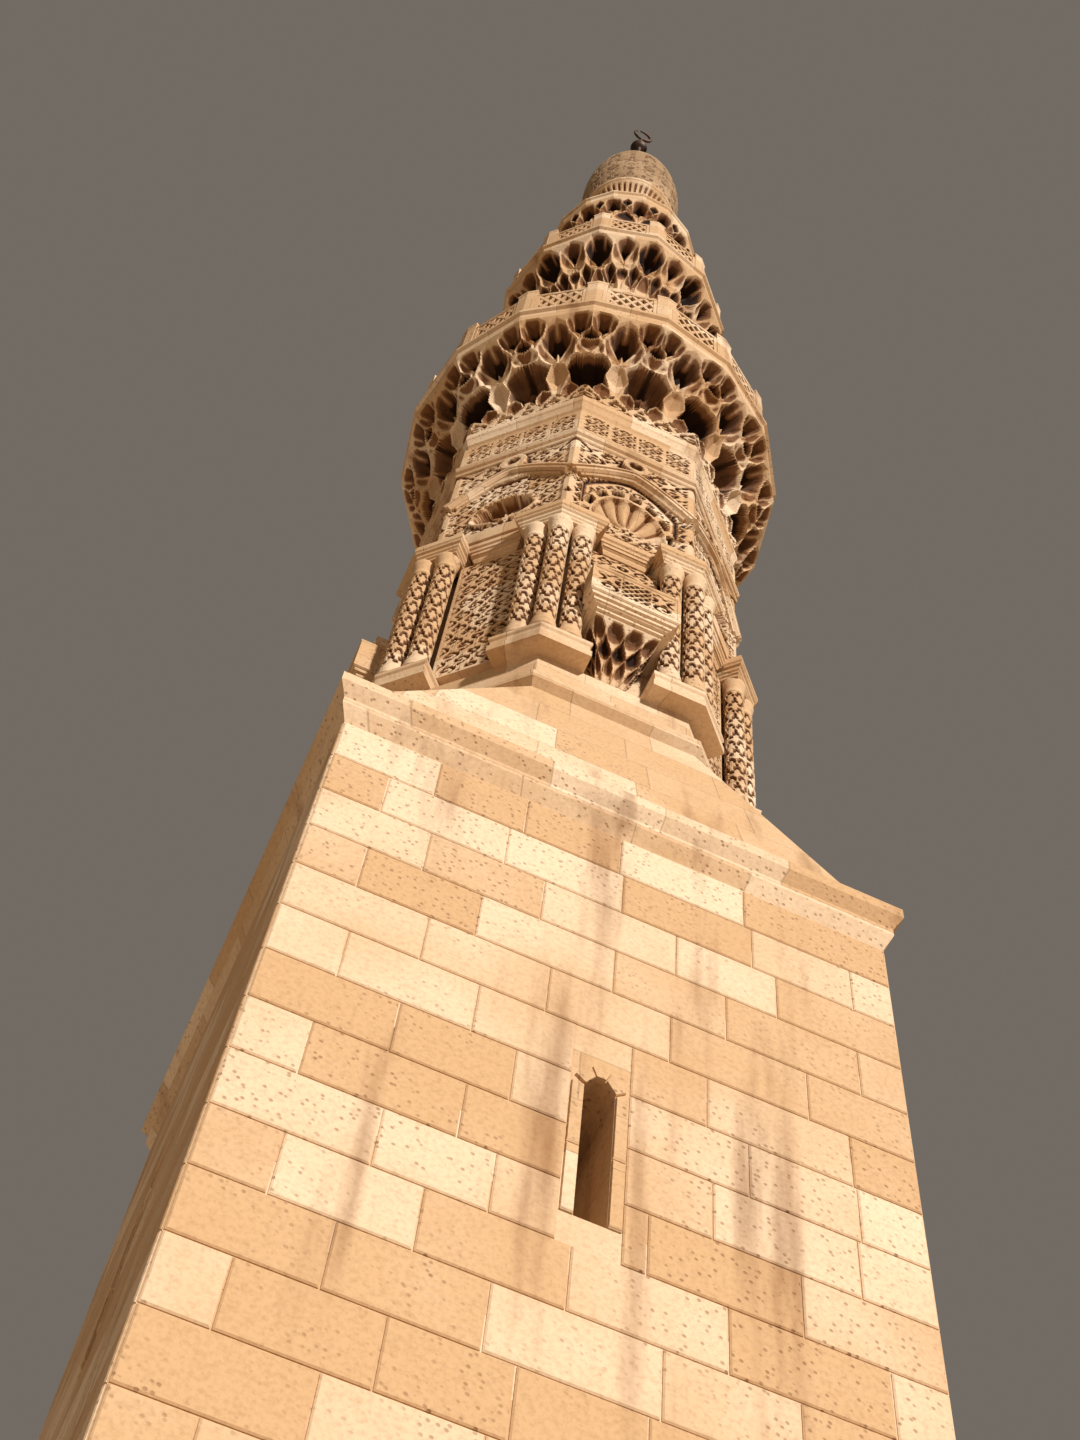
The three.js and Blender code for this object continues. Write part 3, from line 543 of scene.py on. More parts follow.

# %% [markdown]
# ## Stalactite cells
#
# Stalactite corbelling carries a wide balcony on a narrower shaft. Tier over tier, small vaults lean
# out, and thin stone edges part them like the walls of a honeycomb. Hundreds of separate vaults would
# be hard to fit together, so one sloping surface is shared out instead. Each cell is a polygon with
# its own middle, width and height, and each point of the slope belongs to the cell in which it lies
# deepest. An edge stays where two cells meet. Inside a cell the stone is cut back part of the way to
# the radius at the cell's foot, and a little more, so it leans out most under the crown. Slim ribs
# part some cells like the rays of a star, and some have a small opening in the head. Shade is painted
# into the colour: the head is painted dark as if in shadow, the lower half, the edge and the ribs
# stay light as if they caught the light, and the openings are painted darkest.


# %% Sharing a sloping ring out between cells
# A shape lists the directions that the sides of a cell's right half face, in degrees above level.
SQUARE_HEAD = (90, 8, -52)
POINTED = (52, 0, -52)
HEXAGON = (60, 0, -60)
SHIELD_SHAPE = (68, 20, -44)
BOWL_SHAPE = (90, 42, 0, -45, -90)
LOZENGE = (45, -45)


def polygon_in_cell(across, up, sides):
    """0 in the middle and 1 on the outline of a polygon that is alike on both hands."""
    across = np.abs(across)
    turned = [across * math.cos(math.radians(t)) + up * math.sin(math.radians(t)) for t in sides]
    return np.max(turned, axis=0)


def place_in_cell(azimuth, height, cell):
    """How far out in the cell each point lies, and its place across and up, from -1 to 1."""
    spacing = 360 / cell["count"]
    off = (azimuth - cell["middle"] + spacing / 2) % spacing - spacing / 2
    across = off / cell["half"] + 0 * height
    reach = np.where(height > cell["level"], cell["rise"], cell["drop"])
    up = (height - cell["level"]) / reach + 0 * azimuth
    return polygon_in_cell(across, up, cell["shape"]), across, up


def star_ribs(across, up, count):
    """1 on the ribs that part a cell like the rays of a star, and 0 midway between two."""
    if not count:
        return 0 * across
    return np.abs((np.arctan2(up + 0.45, np.abs(across)) * count / math.pi) % 1 - 0.5) * 2


def carve_cells(azimuth, height, slope, cells, bottom, top):
    """Radius and painted shade of a ring whose slope is shared out between cells.

    Count is how many of a cell go round, middle and half its place and half width in degrees, and
    level, rise and drop its heights in metres. The stone is cut back by keep, a share of the way to
    the radius at the cell's foot, and by back, in metres. Fold is how much less it is cut back at the
    outline, star the number of ribs on each hand, wall the width of the slope inside the edge, and
    lit the heights between which the painted shade grows. Dark is the strength of the painted shade.
    Above its middle, a cell marked as last ends at its own outline. Cups and hole are hollows inside
    the cell, painted darkest in their middles.
    """
    plain = slope(azimuth, height)
    found = [place_in_cell(azimuth, height, cell) for cell in cells]
    order = np.sort(np.stack([reach for reach, *_ in found]), axis=0)
    rim = np.minimum((top - height) / 0.05, (height - bottom) / 0.10)
    edge = np.clip(np.minimum(order[1] - order[0], rim), 0, None)
    radius, dark = plain.copy(), np.zeros_like(plain)
    for cell, (reach, across, up) in zip(cells, found):
        inside = np.where(up > 0, np.minimum(edge, 1.08 - reach), edge) if cell.get("last") else edge
        ribs = star_ribs(across, up, cell.get("star"))
        fill = np.clip((inside - 0.02 - 0.05 * ribs) / cell.get("wall", 0.34), 0, 1)
        keep = plain - slope(azimuth, np.minimum(cell["level"] - cell["drop"], height))
        depth = keep * cell.get("keep", 0.45) + cell["back"]
        depth = depth * (1 - cell.get("fold", 0.3) * np.clip(reach, 0, 1.1)) * (1 - 0.42 * ribs)
        # Painted shade: the head of a cell is painted dark and its lower half light, its edge lighter than
        # its middle.
        in_shadow = 0.10 + 0.90 * smooth(*cell.get("lit", (-0.65, 0.35)), up)
        shade = cell["dark"] * in_shadow * smooth(0.05, 0.5, fill)
        # Painted light: the ribs are left lighter than the rest of the cell.
        shade = shade * (1 - 0.75 * smooth(0.6, 0.95, ribs))
        # Painted shade: a cup is painted darkest in its middle.
        for middle, level, size, extra in cell.get("cups", ()):
            near = np.hypot(np.abs(across) - middle, (up - level) * 0.8) / size
            depth = depth + extra * np.clip(1 - near, 0, 1)
            shade = np.where(near < 1, np.maximum(shade, 1.0 - 0.7 * near), shade)
        if "hole" in cell:
            level, half, rise, extra, sides = cell["hole"]
            above = (height - level) / rise + 0 * azimuth
            inner = polygon_in_cell(across * cell["half"] / half, above, sides)
            hole = np.clip((1.05 - inner) / 0.35, 0, 1)
            depth = depth + extra * hole
            # Painted shade: the opening is painted dark.
            shade = np.maximum(shade, smooth(0.2, 0.9, hole))
        mine = (reach <= order[0]) & (fill > 0)
        radius = np.where(mine, plain - depth * fill, radius)
        dark = np.where(mine, shade, dark)
    return radius, dark


print("cells ready")

# %% [markdown]
# ## Scrolling foliage
#
# The flat parts of the tower are covered with scrolling stems in front of a drilled ground, darkened with
# painted shade.
# Circles stand in staggered rows, and in each a stem winds inwards, to the left and to the right in
# turn. It is a common, traditional kind of ornament, and a rule makes it at any size.


# %% Scrolls as a rule
def scrolls(x, z, size, pitch=0.36, stretch=1.35):
    """1 on a stem and 0 in the drilled ground."""
    x = x / stretch
    row = np.floor(z / (size * 0.87))
    x = x + (row % 2) * size / 2 + 0 * z
    column = np.floor(x / size)
    across = x - (column + 0.5) * size
    upward = z - (row + 0.5) * size * 0.87
    distance = np.hypot(across, upward)
    handed = np.where((column + row) % 2 == 0, 1.0, -1.0)
    turn = distance / (size * pitch) - handed * np.arctan2(upward, across) / (2 * math.pi)
    winding = np.abs(turn - np.round(turn)) * 2
    leaf = 0.10 * np.sin(np.arctan2(upward, across) * 5 + column)
    stem = 1 - smooth(0.50, 0.70, winding + leaf)
    ring = smooth(0.38, 0.43, distance / size) * smooth(0.58, 0.53, distance / size)
    return np.maximum(stem * (distance < size * 0.45), ring)


print("scrolls ready")

# %% [markdown]
# ## First stalactite ring
#
# This is the tower's richest part. In the photograph, deep squarish niches stand over the octagon's
# corners and wider grottoes over the middles of its faces. Sixteen leaf-shaped bowls hang between
# them, each with an opening in its head that is painted dark, and pairs of small round cells with a
# diamond below them fill the rest up to the rim. A low frieze of pierced foliage covers the foot, with
# painted shade on its ground.


# %% The first ring
# The dark value of each cell is the strength of the shade painted into it.
CORNER_NICHE = {
    "count": 8, "middle": -112.5, "half": 8.4, "level": 19.58, "rise": 0.30, "drop": 0.32, "wall": 0.25,
    "shape": SQUARE_HEAD, "back": 0.22, "dark": 1.0, "fold": 0.1, "keep": 0.4, "lit": (-1.0, -0.1),
}
FACE_GROTTO = {
    "count": 8, "middle": -90, "half": 10.4, "level": 19.60, "rise": 0.40, "drop": 0.38, "wall": 0.25,
    "shape": POINTED, "back": 0.13, "dark": 0.6, "fold": 0.2, "star": 4, "lit": (-0.9, 0.1),
    "cups": ((0.0, 0.45, 0.36, 0.12), (0.50, 0.05, 0.38, 0.12), (0.0, -0.3, 0.30, 0.06)),
}
KITES = [
    {"count": 16, "middle": -101.25, "half": 4.4, "level": 19.60, "rise": 0.20, "drop": 0.24, "wall": 0.25,
     "shape": LOZENGE, "back": 0.05, "dark": 0.15, "fold": 0.95},
    {"count": 32, "middle": -95.625, "half": 3.6, "level": 19.33, "rise": 0.14, "drop": 0.13, "wall": 0.25,
     "shape": POINTED, "back": 0.05, "dark": 0.45, "fold": 0.9},
]
LEAF_BOWL = {
    "count": 16, "middle": -101.25, "half": 6.6, "level": 20.01, "rise": 0.32, "drop": 0.28,
    "last": True, "shape": HEXAGON, "back": 0.08, "dark": 0.65, "fold": 0.35, "star": 4,
    "lit": (-0.3, 0.4), "hole": (20.14, 3.4, 0.13, 0.10, BOWL_SHAPE),
}
HALF_ROUND = {
    "count": 16, "middle": -90, "half": 5.2, "level": 19.93, "rise": 0.13, "drop": 0.12,
    "shape": BOWL_SHAPE, "back": 0.06, "dark": 0.5, "fold": 0.4, "star": 3, "lit": (-0.1, 0.7),
}
DIAMOND = {
    "count": 16, "middle": -90, "half": 2.6, "level": 20.11, "rise": 0.075, "drop": 0.09,
    "shape": LOZENGE, "back": 0.10, "dark": 1.0, "fold": 0.2,
}
SMALL_BOWLS = [
    {"count": 16, "middle": -90 + side, "half": 4.2, "level": 20.25, "rise": 0.175, "drop": 0.165,
     "shape": HEXAGON, "last": True, "back": 0.08, "dark": 0.6, "fold": 0.35, "star": 3,
     "lit": (-0.3, 0.4), "hole": (20.30, 1.9, 0.07, 0.08, BOWL_SHAPE)}
    for side in (-3.7, 3.7)
]


def first_slope(azimuth, height):
    """Radius before carving: straight up to 19.08 m, then out from the octagon to sixteen sides."""
    foot, top = 19.08, STALACTITES_1[1] - 0.02
    rise = np.clip((height - foot) / (top - foot), 0, 1) ** 1.35
    octagon = polygon_reach(azimuth, OCTAGON_FACE - 0.02, 8, -90)
    rim = polygon_reach(azimuth, RIM_1_CORNER * math.cos(math.pi / 16), 16, 11.25)
    return octagon * (1 - rise) + rim * rise


def first_ring():
    """An eighth of the first ring, with its frieze, repeated round the tower."""
    low, high = STALACTITES_1
    azimuth = np.linspace(-112.5, -67.5, 113)[None, :]
    height = np.concatenate([np.linspace(low, 19.20, 16), np.linspace(19.215, high, 92)])[:, None]
    cells = [CORNER_NICHE, FACE_GROTTO, *KITES, LEAF_BOWL, HALF_ROUND, DIAMOND, *SMALL_BOWLS]
    x = np.radians(np.abs(azimuth + 90)) * 1.4
    crest_top = 19.17 + 0.09 * np.cos(x * math.pi / 0.27) ** 2
    radius, dark = carve_cells(azimuth, height, first_slope, cells, crest_top, high - 0.02)
    stems = np.maximum(scrolls(x, height + 0.02, 0.19), smooth(0.026, 0.018, crest_top - height))
    on_crest = smooth(0.0, 0.008, crest_top - height)
    frieze = first_slope(azimuth, height) + 0.05 * on_crest * (stems * 1.5 - 0.5)
    radius = np.where(height < crest_top, frieze, radius)
    # Painted shade on the drilled ground of the frieze, between its stems.
    dark = np.where(height < crest_top, 0.95 * (1 - stems) * on_crest, dark)
    return repeat(ring_sector("stalactites_1", azimuth[0], height[:, 0], radius, 0.87, dark), 8)


set_in_place(first_ring(), limestone, "limestone", "muqarnas_1")

# %% [markdown]
# ## Second stalactite ring
#
# The second ring turns a round shaft into a twelve-sided balcony. Star-vaulted bowls, painted dark as
# if in shade, hang under its corners, shallower shields with a small hole in their heads under its
# sides, and a row of small niches below. The same rule makes it, with other cells and another slope.


# %% The second ring
STAR_BOWL = {
    "count": 12, "middle": -90, "half": 8.4, "level": 25.43, "rise": 0.35, "drop": 0.34, "last": True,
    "shape": BOWL_SHAPE, "back": 0.12, "dark": 0.8, "fold": 0.3, "star": 5, "lit": (-0.3, 0.35),
    "hole": (25.54, 5.2, 0.20, 0.10, SHIELD_SHAPE),
}
SHIELD = {
    "count": 12, "middle": -75, "half": 8.0, "level": 25.45, "rise": 0.33, "drop": 0.34, "last": True,
    "shape": SHIELD_SHAPE, "back": 0.06, "dark": 0.6, "fold": 0.4, "star": 3, "lit": (-0.2, 0.4),
    "hole": (25.62, 2.8, 0.10, 0.12, SHIELD_SHAPE),
}
LOW_NICHE = {
    "count": 24, "middle": -82.5, "half": 5.4, "level": 24.93, "rise": 0.24, "drop": 0.25,
    "shape": POINTED, "back": 0.08, "dark": 0.7, "fold": 0.3, "star": 3,
}
GAP_NICHE = {
    "count": 12, "middle": -90, "half": 5.0, "level": 24.82, "rise": 0.20, "drop": 0.20,
    "shape": POINTED, "back": 0.03, "dark": 0.55, "fold": 0.5,
}
LOW_SHIELD = {
    "count": 12, "middle": -75, "half": 4.2, "level": 25.00, "rise": 0.15, "drop": 0.18,
    "shape": LOZENGE, "back": 0.04, "dark": 0.7, "fold": 0.4,
}


def second_slope(azimuth, height):
    """Radius before carving: from the round shaft out to the twelve-sided rim."""
    low, high = STALACTITES_2
    rise = np.clip((height - low) / (high - 0.03 - low), 0, 1) ** 1.25
    rim = polygon_reach(azimuth, RIM_2_CORNER * math.cos(math.pi / 12), 12, 15)
    return ROUND_RADIUS * (1 - rise) + rim * rise


def second_ring():
    """A twelfth of the second ring, repeated."""
    low, high = STALACTITES_2
    azimuth = np.linspace(-105, -75, 65)[None, :]
    height = np.linspace(low, high, 60)[:, None]
    cells = [STAR_BOWL, SHIELD, LOW_NICHE, GAP_NICHE, LOW_SHIELD]
    radius, dark = carve_cells(azimuth, height, second_slope, cells, low, high - 0.035)
    return repeat(ring_sector("stalactites_2", azimuth[0], height[:, 0], radius, 0.68, dark), 12)


set_in_place(second_ring(), limestone, "limestone", "muqarnas_2")

# %% [markdown]
# ## Third stalactite ring
#
# The third ring is the smallest. It carries the crown on sixteen round bowls, one under each of the
# crown's corners, over a row of low pointed niches. It starts from the pavilion's octagonal beam.


# %% The third ring
CROWN_BOWL = {
    "count": 16, "middle": CROWN_TURN, "half": 11.0, "level": 29.14, "rise": 0.29, "drop": 0.30,
    "last": True, "shape": BOWL_SHAPE, "back": 0.08, "dark": 0.6, "fold": 0.3, "star": 3,
    "lit": (-0.3, 0.4), "hole": (29.25, 6.0, 0.14, 0.07, POINTED),
}
CROWN_SPANDREL = {
    "count": 16, "middle": CROWN_TURN + 11.25, "half": 3.4, "level": 29.33, "rise": 0.09, "drop": 0.11,
    "last": True, "shape": LOZENGE, "back": 0.05, "dark": 0.8,
}
CROWN_LOW = {
    "count": 16, "middle": CROWN_TURN + 11.25, "half": 7.4, "level": 28.79, "rise": 0.18, "drop": 0.19,
    "shape": POINTED, "back": 0.04, "dark": 0.8, "fold": 0.4,
}


def third_slope(azimuth, height):
    """Radius before carving: from the octagonal beam out to the sixteen-sided crown."""
    low, high = STALACTITES_3
    rise = np.clip((height - low - 0.06) / (high - 0.03 - low - 0.06), 0, 1) ** 1.2
    octagon = polygon_reach(azimuth, 0.86, 8, CROWN_TURN + 22.5)
    rim = polygon_reach(azimuth, RIM_3_CORNER * math.cos(math.pi / 16), 16, CROWN_TURN + 11.25)
    return octagon * (1 - rise) + rim * rise


def third_ring():
    """An eighth of the third ring, repeated."""
    low, high = STALACTITES_3
    azimuth = np.linspace(CROWN_TURN, CROWN_TURN + 45, 61)[None, :]
    height = np.linspace(low, high, 46)[:, None]
    cells = [CROWN_BOWL, CROWN_SPANDREL, CROWN_LOW]
    radius, dark = carve_cells(azimuth, height, third_slope, cells, low + 0.03, high - 0.035)
    return repeat(ring_sector("stalactites_3", azimuth[0], height[:, 0], radius, 0.2, dark), 8)


set_in_place(third_ring(), limestone, "limestone", "muqarnas_3")

# %% [markdown]
# ## Heads of the octagon's faces
#
# Above the colonnettes each face ends in a carved head: a gable moulding that climbs to a small loop,
# foliage above and below it, and a fluted shell in a panel. The four faces with balconies have a tall
# shell of rounded lobes parted by sharp grooves, the others a low hood with hollow flutes. Most of it
# is one relief on flat faces, worked out as the height of the stone in front of the face, in metres.
# This first cell has the lines that the carving follows: the gable and the fan of a shell.


# %% Lines of a face head
GABLE_APEX, GABLE_FOOT = 17.52, 17.08
TALL_SHELL, TALL_FLUTES = {"hinge": 16.36, "half": 0.325, "tall": 0.60}, 13
LOW_SHELL, LOW_FLUTES = {"hinge": 16.52, "half": 0.25, "tall": 0.30}, 11


def fan(x, z, hinge, half, tall):
    """Distance from a shell's hinge, 1 at its rim, and the direction in which a flute runs."""
    return np.hypot(x / half, (z - hinge) / tall), np.arctan2((z - hinge) / tall, x / half)


def fluting(direction, flutes):
    """0 on the lines between a shell's flutes and 1 in their middles."""
    return np.abs(np.sin(direction * flutes / 2))


def gable_line(x):
    """Height of the low pointed gable over a place on a face."""
    return GABLE_APEX - (GABLE_APEX - GABLE_FOOT) * (np.abs(x) / half_side) ** 1.35


print("the gable rises", round(GABLE_APEX - GABLE_FOOT, 2), "m")

# %% [markdown]
# ## Mouldings along a line
#
# The gable mouldings stand out with sharp edges, and a relief would blur them. A real moulding keeps
# its section while it follows its line, so a section is swept along the line here too. A curve with
# a bevel could do it as well, but this way the ends are closed and the number of faces is known.


# %% A moulding swept along a line
GABLE_SECTION = [
    (-0.052, -0.03), (-0.052, 0.040), (-0.038, 0.058), (-0.016, 0.060), (-0.010, 0.036),
    (0.010, 0.036), (0.016, 0.058), (0.036, 0.054), (0.050, 0.030), (0.050, -0.03),
]
SLIM_SECTION = [(-0.014, -0.03), (-0.014, 0.020), (0.0, 0.030), (0.014, 0.018), (0.014, -0.03)]


def swept(name, x, z, section, distance):
    """A moulding along a path on a face: its section is (sideways, out) and its ends are closed."""
    tangent = np.stack([np.gradient(x), np.gradient(z)], -1)
    tangent /= np.linalg.norm(tangent, axis=1)[:, None]
    rows = []
    for across, out in section:
        px, pz = x + tangent[:, 1] * across, z - tangent[:, 0] * across
        rows.append(np.stack([px, -(distance(px) + out), pz], -1))
    points, count = np.array(rows), len(x)
    faces = [face[::-1] for face in capped_strips(len(section), count)]
    return new_piece(name, points.reshape(-1, 3), faces, np.zeros(len(section) * count))


def gable_mouldings():
    """Two mouldings that climb each face: the gable with its groove, and a slim one inside it."""
    x = np.linspace(-half_side + 0.004, half_side - 0.004, 45)
    z = gable_line(x)

    def face(px):
        return OCTAGON_FACE + 0 * px

    gable = swept("gable", x, z - 0.052, GABLE_SECTION, face)
    slim = swept("slim", x[3:-3], z[3:-3] - 0.145, SLIM_SECTION, face)
    return repeat(joined("gable_mouldings", [gable, slim]), 8)


print("sections of", len(GABLE_SECTION), "and", len(SLIM_SECTION), "points")

# %% [markdown]
# ## Two kinds of shell
#
# Each shell fans out from a hinge on the face's middle line. The tall one swells in rounded lobes
# inside a frame of deep slots, and stands in a keel-shaped panel. The low one is hollowed like half a
# dome, with a rounded lip. Both are heights over the flat face, so they can be mixed with the rest.


# %% Fields with a shell
def tall_shell_field(x, z):
    """Keel-shaped panel with a shell in a frame of deep lobes: the four faces with balconies."""
    crown = 17.36 - 0.40 * (np.abs(x) / 0.425) ** 1.7
    edge = np.minimum(0.43 - np.abs(x), crown - z)
    panel = smooth(0.0, 0.012, edge)
    border = smooth(0.075, 0.06, edge) * panel
    stems = scrolls(np.abs(x), z + 0.03, 0.13)
    in_panel = -0.028 * panel - 0.022 * (1 - stems) * (border < 0.5)
    relief = np.where(edge > 0, in_panel, -0.024 * (1 - scrolls(np.abs(x), z, 0.13)))
    distance, direction = fan(x, z, **TALL_SHELL)
    wave = fluting(direction, TALL_FLUTES)
    dish = 0.055 * np.sin(math.pi * np.clip(distance, 0, 1))
    shell = -0.02 - dish - 0.046 * (1 - wave) * smooth(0.05, 0.4, distance)
    slots = smooth(0.45, 0.75, fluting(direction, 15))
    slots = slots * smooth(1.07, 1.10, distance) * smooth(1.27, 1.22, distance)
    frame = -0.012 - 0.09 * slots
    upper = z > TALL_SHELL["hinge"]
    relief = np.where((distance < 1.30) & upper, frame, relief)
    return np.where((distance < 0.96 + 0.05 * wave) & upper, shell, relief)


def low_shell_field(x, z):
    """Half-domed shell with a rounded lip, below a flat moulding: the four diagonal faces."""
    relief = -0.024 * (1 - scrolls(np.abs(x) + 0.04, z + 0.05, 0.13))
    flat_top = smooth(17.255, 17.265, z) * smooth(17.34, 17.33, z) * smooth(0.34, 0.33, np.abs(x))
    relief = relief * (1 - flat_top) + flat_top * (0.02 + 0.012 * np.cos(z * 420))
    plain = smooth(16.215, 16.205, z) * smooth(0.27, 0.26, np.abs(x))
    relief = relief * (1 - plain) + 0.03 * plain
    hinge = LOW_SHELL["hinge"]
    distance, direction = fan(x, z, **LOW_SHELL)
    below, _ = fan(x, z, hinge, LOW_SHELL["half"], 0.17)
    distance = np.where(z > hinge, distance, below)
    wave = fluting(direction, LOW_FLUTES)
    dome = 0.06 * np.clip(distance, 0, 1) ** 1.5 * (z > hinge)
    shell = -0.03 - dome - 0.035 * wave * smooth(0.05, 0.4, distance)
    relief = np.where(distance < 0.95 + 0.05 * wave, shell, relief)
    lip = 0.030 * np.sqrt(np.clip(1 - ((distance - 1.08) / 0.13) ** 2, 0, 1))
    return relief + lip


print("shells of", TALL_FLUTES, "and", LOW_FLUTES, "flutes")

# %% [markdown]
# ## The whole head
#
# Foliage fills the face above the gable, a small loop sits on its apex, and a strip runs up each
# corner. The parts are laid over one another in turn, the later ones in front. Stone that lies below
# its surroundings gets a dark tone, because dust and shadow gather there.


# %% Relief and hollows of the heads
def head_relief(x, z, diagonal):
    """How far the carving stands in front of an octagon face."""
    below = gable_line(x) - z
    above = -0.036 * (1 - scrolls(np.abs(x), z + 0.06, 0.18))
    inner = np.where(diagonal, low_shell_field(x, z), tall_shell_field(x, z))
    relief = np.where(below < 0, above, inner)
    relief = np.where((below > -0.01) & (below < 0.165), -0.006, relief)
    loop = np.hypot(x, (z - 17.66) * 0.8)
    rounded = 0.055 * smooth(0.13, 0.115, loop) - 0.085 * smooth(0.062, 0.05, loop)
    relief = np.where(loop < 0.13, rounded, relief)
    eave = smooth(17.80, 17.815, z)
    relief = relief * (1 - eave) + eave * (0.012 + 0.022 * smooth(17.83, 17.845, z))
    corner = half_side - np.abs(x)
    strip = smooth(0.062, 0.052, corner) * (z < 17.80)
    relief = relief * (1 - strip) + 0.010 * strip
    diamond = smooth(1.0, 0.8, corner / 0.036 + np.abs(z - 16.59) / 0.055)
    tie = (corner < 0.05) & (np.abs(z - 16.95) < 0.07)
    relief = np.where(tie, 0.010 + 0.012 * np.cos(np.hypot(corner, z - 16.95) * 190), relief)
    return relief - 0.06 * diamond


def to_corners(azimuth):
    """What a distance to an octagon face is divided by, to reach the face in each direction."""
    off = (azimuth + 90 + 22.5) % 45 - 22.5
    return np.cos(np.radians(off))


def face_heads():
    """A quarter of the heads, with one whole face and two halves, repeated."""
    azimuth, x, diagonal = face_columns(38)
    height = np.linspace(HEAD_BOTTOM, HEAD_TOP, 124)
    across, z = x[None, :], height[:, None]
    relief = head_relief(across, z, diagonal[None, :])
    radius = (OCTAGON_FACE + relief) / to_corners(azimuth)
    inner = OCTAGON_INSIDE / to_corners(azimuth)
    # Painted shade and dust: stone below its surroundings is darkened.
    dust_and_shade = crevices(relief, 6, 0.008)
    distance, direction = fan(across, z, **TALL_SHELL)
    in_shell = (distance < 1.0) & (z > TALL_SHELL["hinge"]) & ~diagonal[None, :]
    # Painted shade: the grooves of the tall shell and a band under its rim are darkened.
    grooves = smooth(0.55, 0.1, fluting(direction, TALL_FLUTES)) * smooth(0.15, 0.4, distance)
    in_grooves = np.maximum(0.45 * grooves, 0.25 * smooth(0.85, 1.0, distance))
    dust_and_shade = np.where(in_shell, in_grooves, dust_and_shade)
    distance, direction = fan(across, z, **LOW_SHELL)
    in_hood = (distance < 1.0) & (z > LOW_SHELL["hinge"]) & diagonal[None, :]
    # Painted shade under the low hood, darker towards its rim, with painted light on its ribs.
    ribs = smooth(0.5, 0.1, fluting(direction, LOW_FLUTES))
    under_hood = (0.22 + 0.25 * smooth(0.5, 0.95, distance)) * (1 - 0.8 * ribs)
    dust_and_shade = np.where(in_hood, under_hood, dust_and_shade)
    return repeat(ring_sector("face_heads", azimuth, height, radius, inner, dust_and_shade), 4)


set_in_place(face_heads(), limestone, "limestone")
set_in_place(gable_mouldings(), limestone, "limestone")

# %% [markdown]
# ## Walls behind the colonnettes
#
# Below the heads, the walls are the solids' own: their doorways and the recess for the colonnettes
# are right as they are. A copy of each solid is cut off level where the carved head begins, so the
# two meet in one joint.


# %% Lower part of each octagon wall
def lower_walls():
    """The eight walls as one piece, cut off level under the heads."""
    whole = bmesh.new()
    for name in nodes_named("octagon_wall_"):
        whole.from_mesh(solids[name].data)
    bmesh.ops.remove_doubles(whole, verts=whole.verts, dist=0.00005)
    everything = list(whole.verts) + list(whole.edges) + list(whole.faces)
    cut = bmesh.ops.bisect_plane(
        whole, geom=everything, plane_co=(0, 0, HEAD_BOTTOM), plane_no=(0, 0, 1), clear_outer=True,
        dist=0.0001,
    )
    rim = [item for item in cut["geom_cut"] if isinstance(item, bmesh.types.BMEdge)]
    bmesh.ops.edgeloop_fill(whole, edges=rim)
    return object_from("octagon_walls", whole)


set_in_place(lower_walls(), limestone, "limestone", *nodes_named("octagon_wall_"))

# %% [markdown]
# ## Ornament band and cornice
#
# A band of close, framed ornament runs round the top of the octagon between a hollow moulding and the
# cornice. Its field is parted into compartments by fine fillets, and foliage on a drilled ground
# fills each. It is again one relief repeated round the axis: the mouldings come from a profile, and
# the foliage from the rule for scrolls, at a smaller size.


# %% The band
BAND_PROFILE = [
    (BAND_BOTTOM, 0.0), (17.93, 0.005), (17.95, 0.045), (18.0, 0.055), (18.03, 0.035), (18.10, 0.02),
    (18.12, 0.022), (18.56, 0.022), (18.58, -0.005), (18.66, -0.004), (18.70, 0.015), (18.74, 0.02),
    (18.80, 0.035), (18.82, 0.047), (18.90, 0.047), (CORNICE_TOP, 0.040),
]


def ornament_band():
    """Mouldings from a profile, with compartments of foliage in the field."""
    azimuth, x, _ = face_columns(42, 1.32)
    keep = np.abs(azimuth + 90) <= 22.5001
    azimuth, x = azimuth[keep], x[keep]
    height = np.concatenate([
        np.linspace(BAND_BOTTOM, 18.10, 10), np.linspace(18.115, 18.56, 36),
        np.linspace(18.575, CORNICE_TOP, 16),
    ])
    z, across = height[:, None], x[None, :]
    profile = np.interp(height, *zip(*BAND_PROFILE))[:, None]
    edge = np.minimum(np.minimum(z - 18.135, 18.535 - z), 0.52 - np.abs(across))
    field = smooth(0.0, 0.012, edge)
    part = (np.abs(across) % 0.26) - 0.13
    frame = smooth(0.016, 0.009, np.abs(np.abs(part) - 0.125)) * field
    stems = scrolls(part + 0.13, z - 18.135, 0.115, 0.42, 1.13)
    carved = -0.024 * field * (1 - np.maximum(stems, frame))
    relief = profile + carved
    radius = (OCTAGON_FACE + relief) / to_corners(azimuth)
    # Painted shade on the drilled ground between the stems and the fillets.
    dust_and_shade = np.clip(-carved / 0.024, 0, 1) + 0 * across
    inner = OCTAGON_INSIDE / to_corners(azimuth)
    piece = ring_sector("ornament_band", azimuth, height, radius, inner, dust_and_shade)
    return repeat(piece, 8)


set_in_place(ornament_band(), limestone, "limestone", "octagon_band", "octagon_cornice")

# %% [markdown]
# ## Lofts and turned shapes
#
# Ledges, posts and balconies are plans raised in steps, each step a little wider or narrower, like a
# stone cut with a profile. Columns and balls are turned. Two helpers build these as closed meshes.


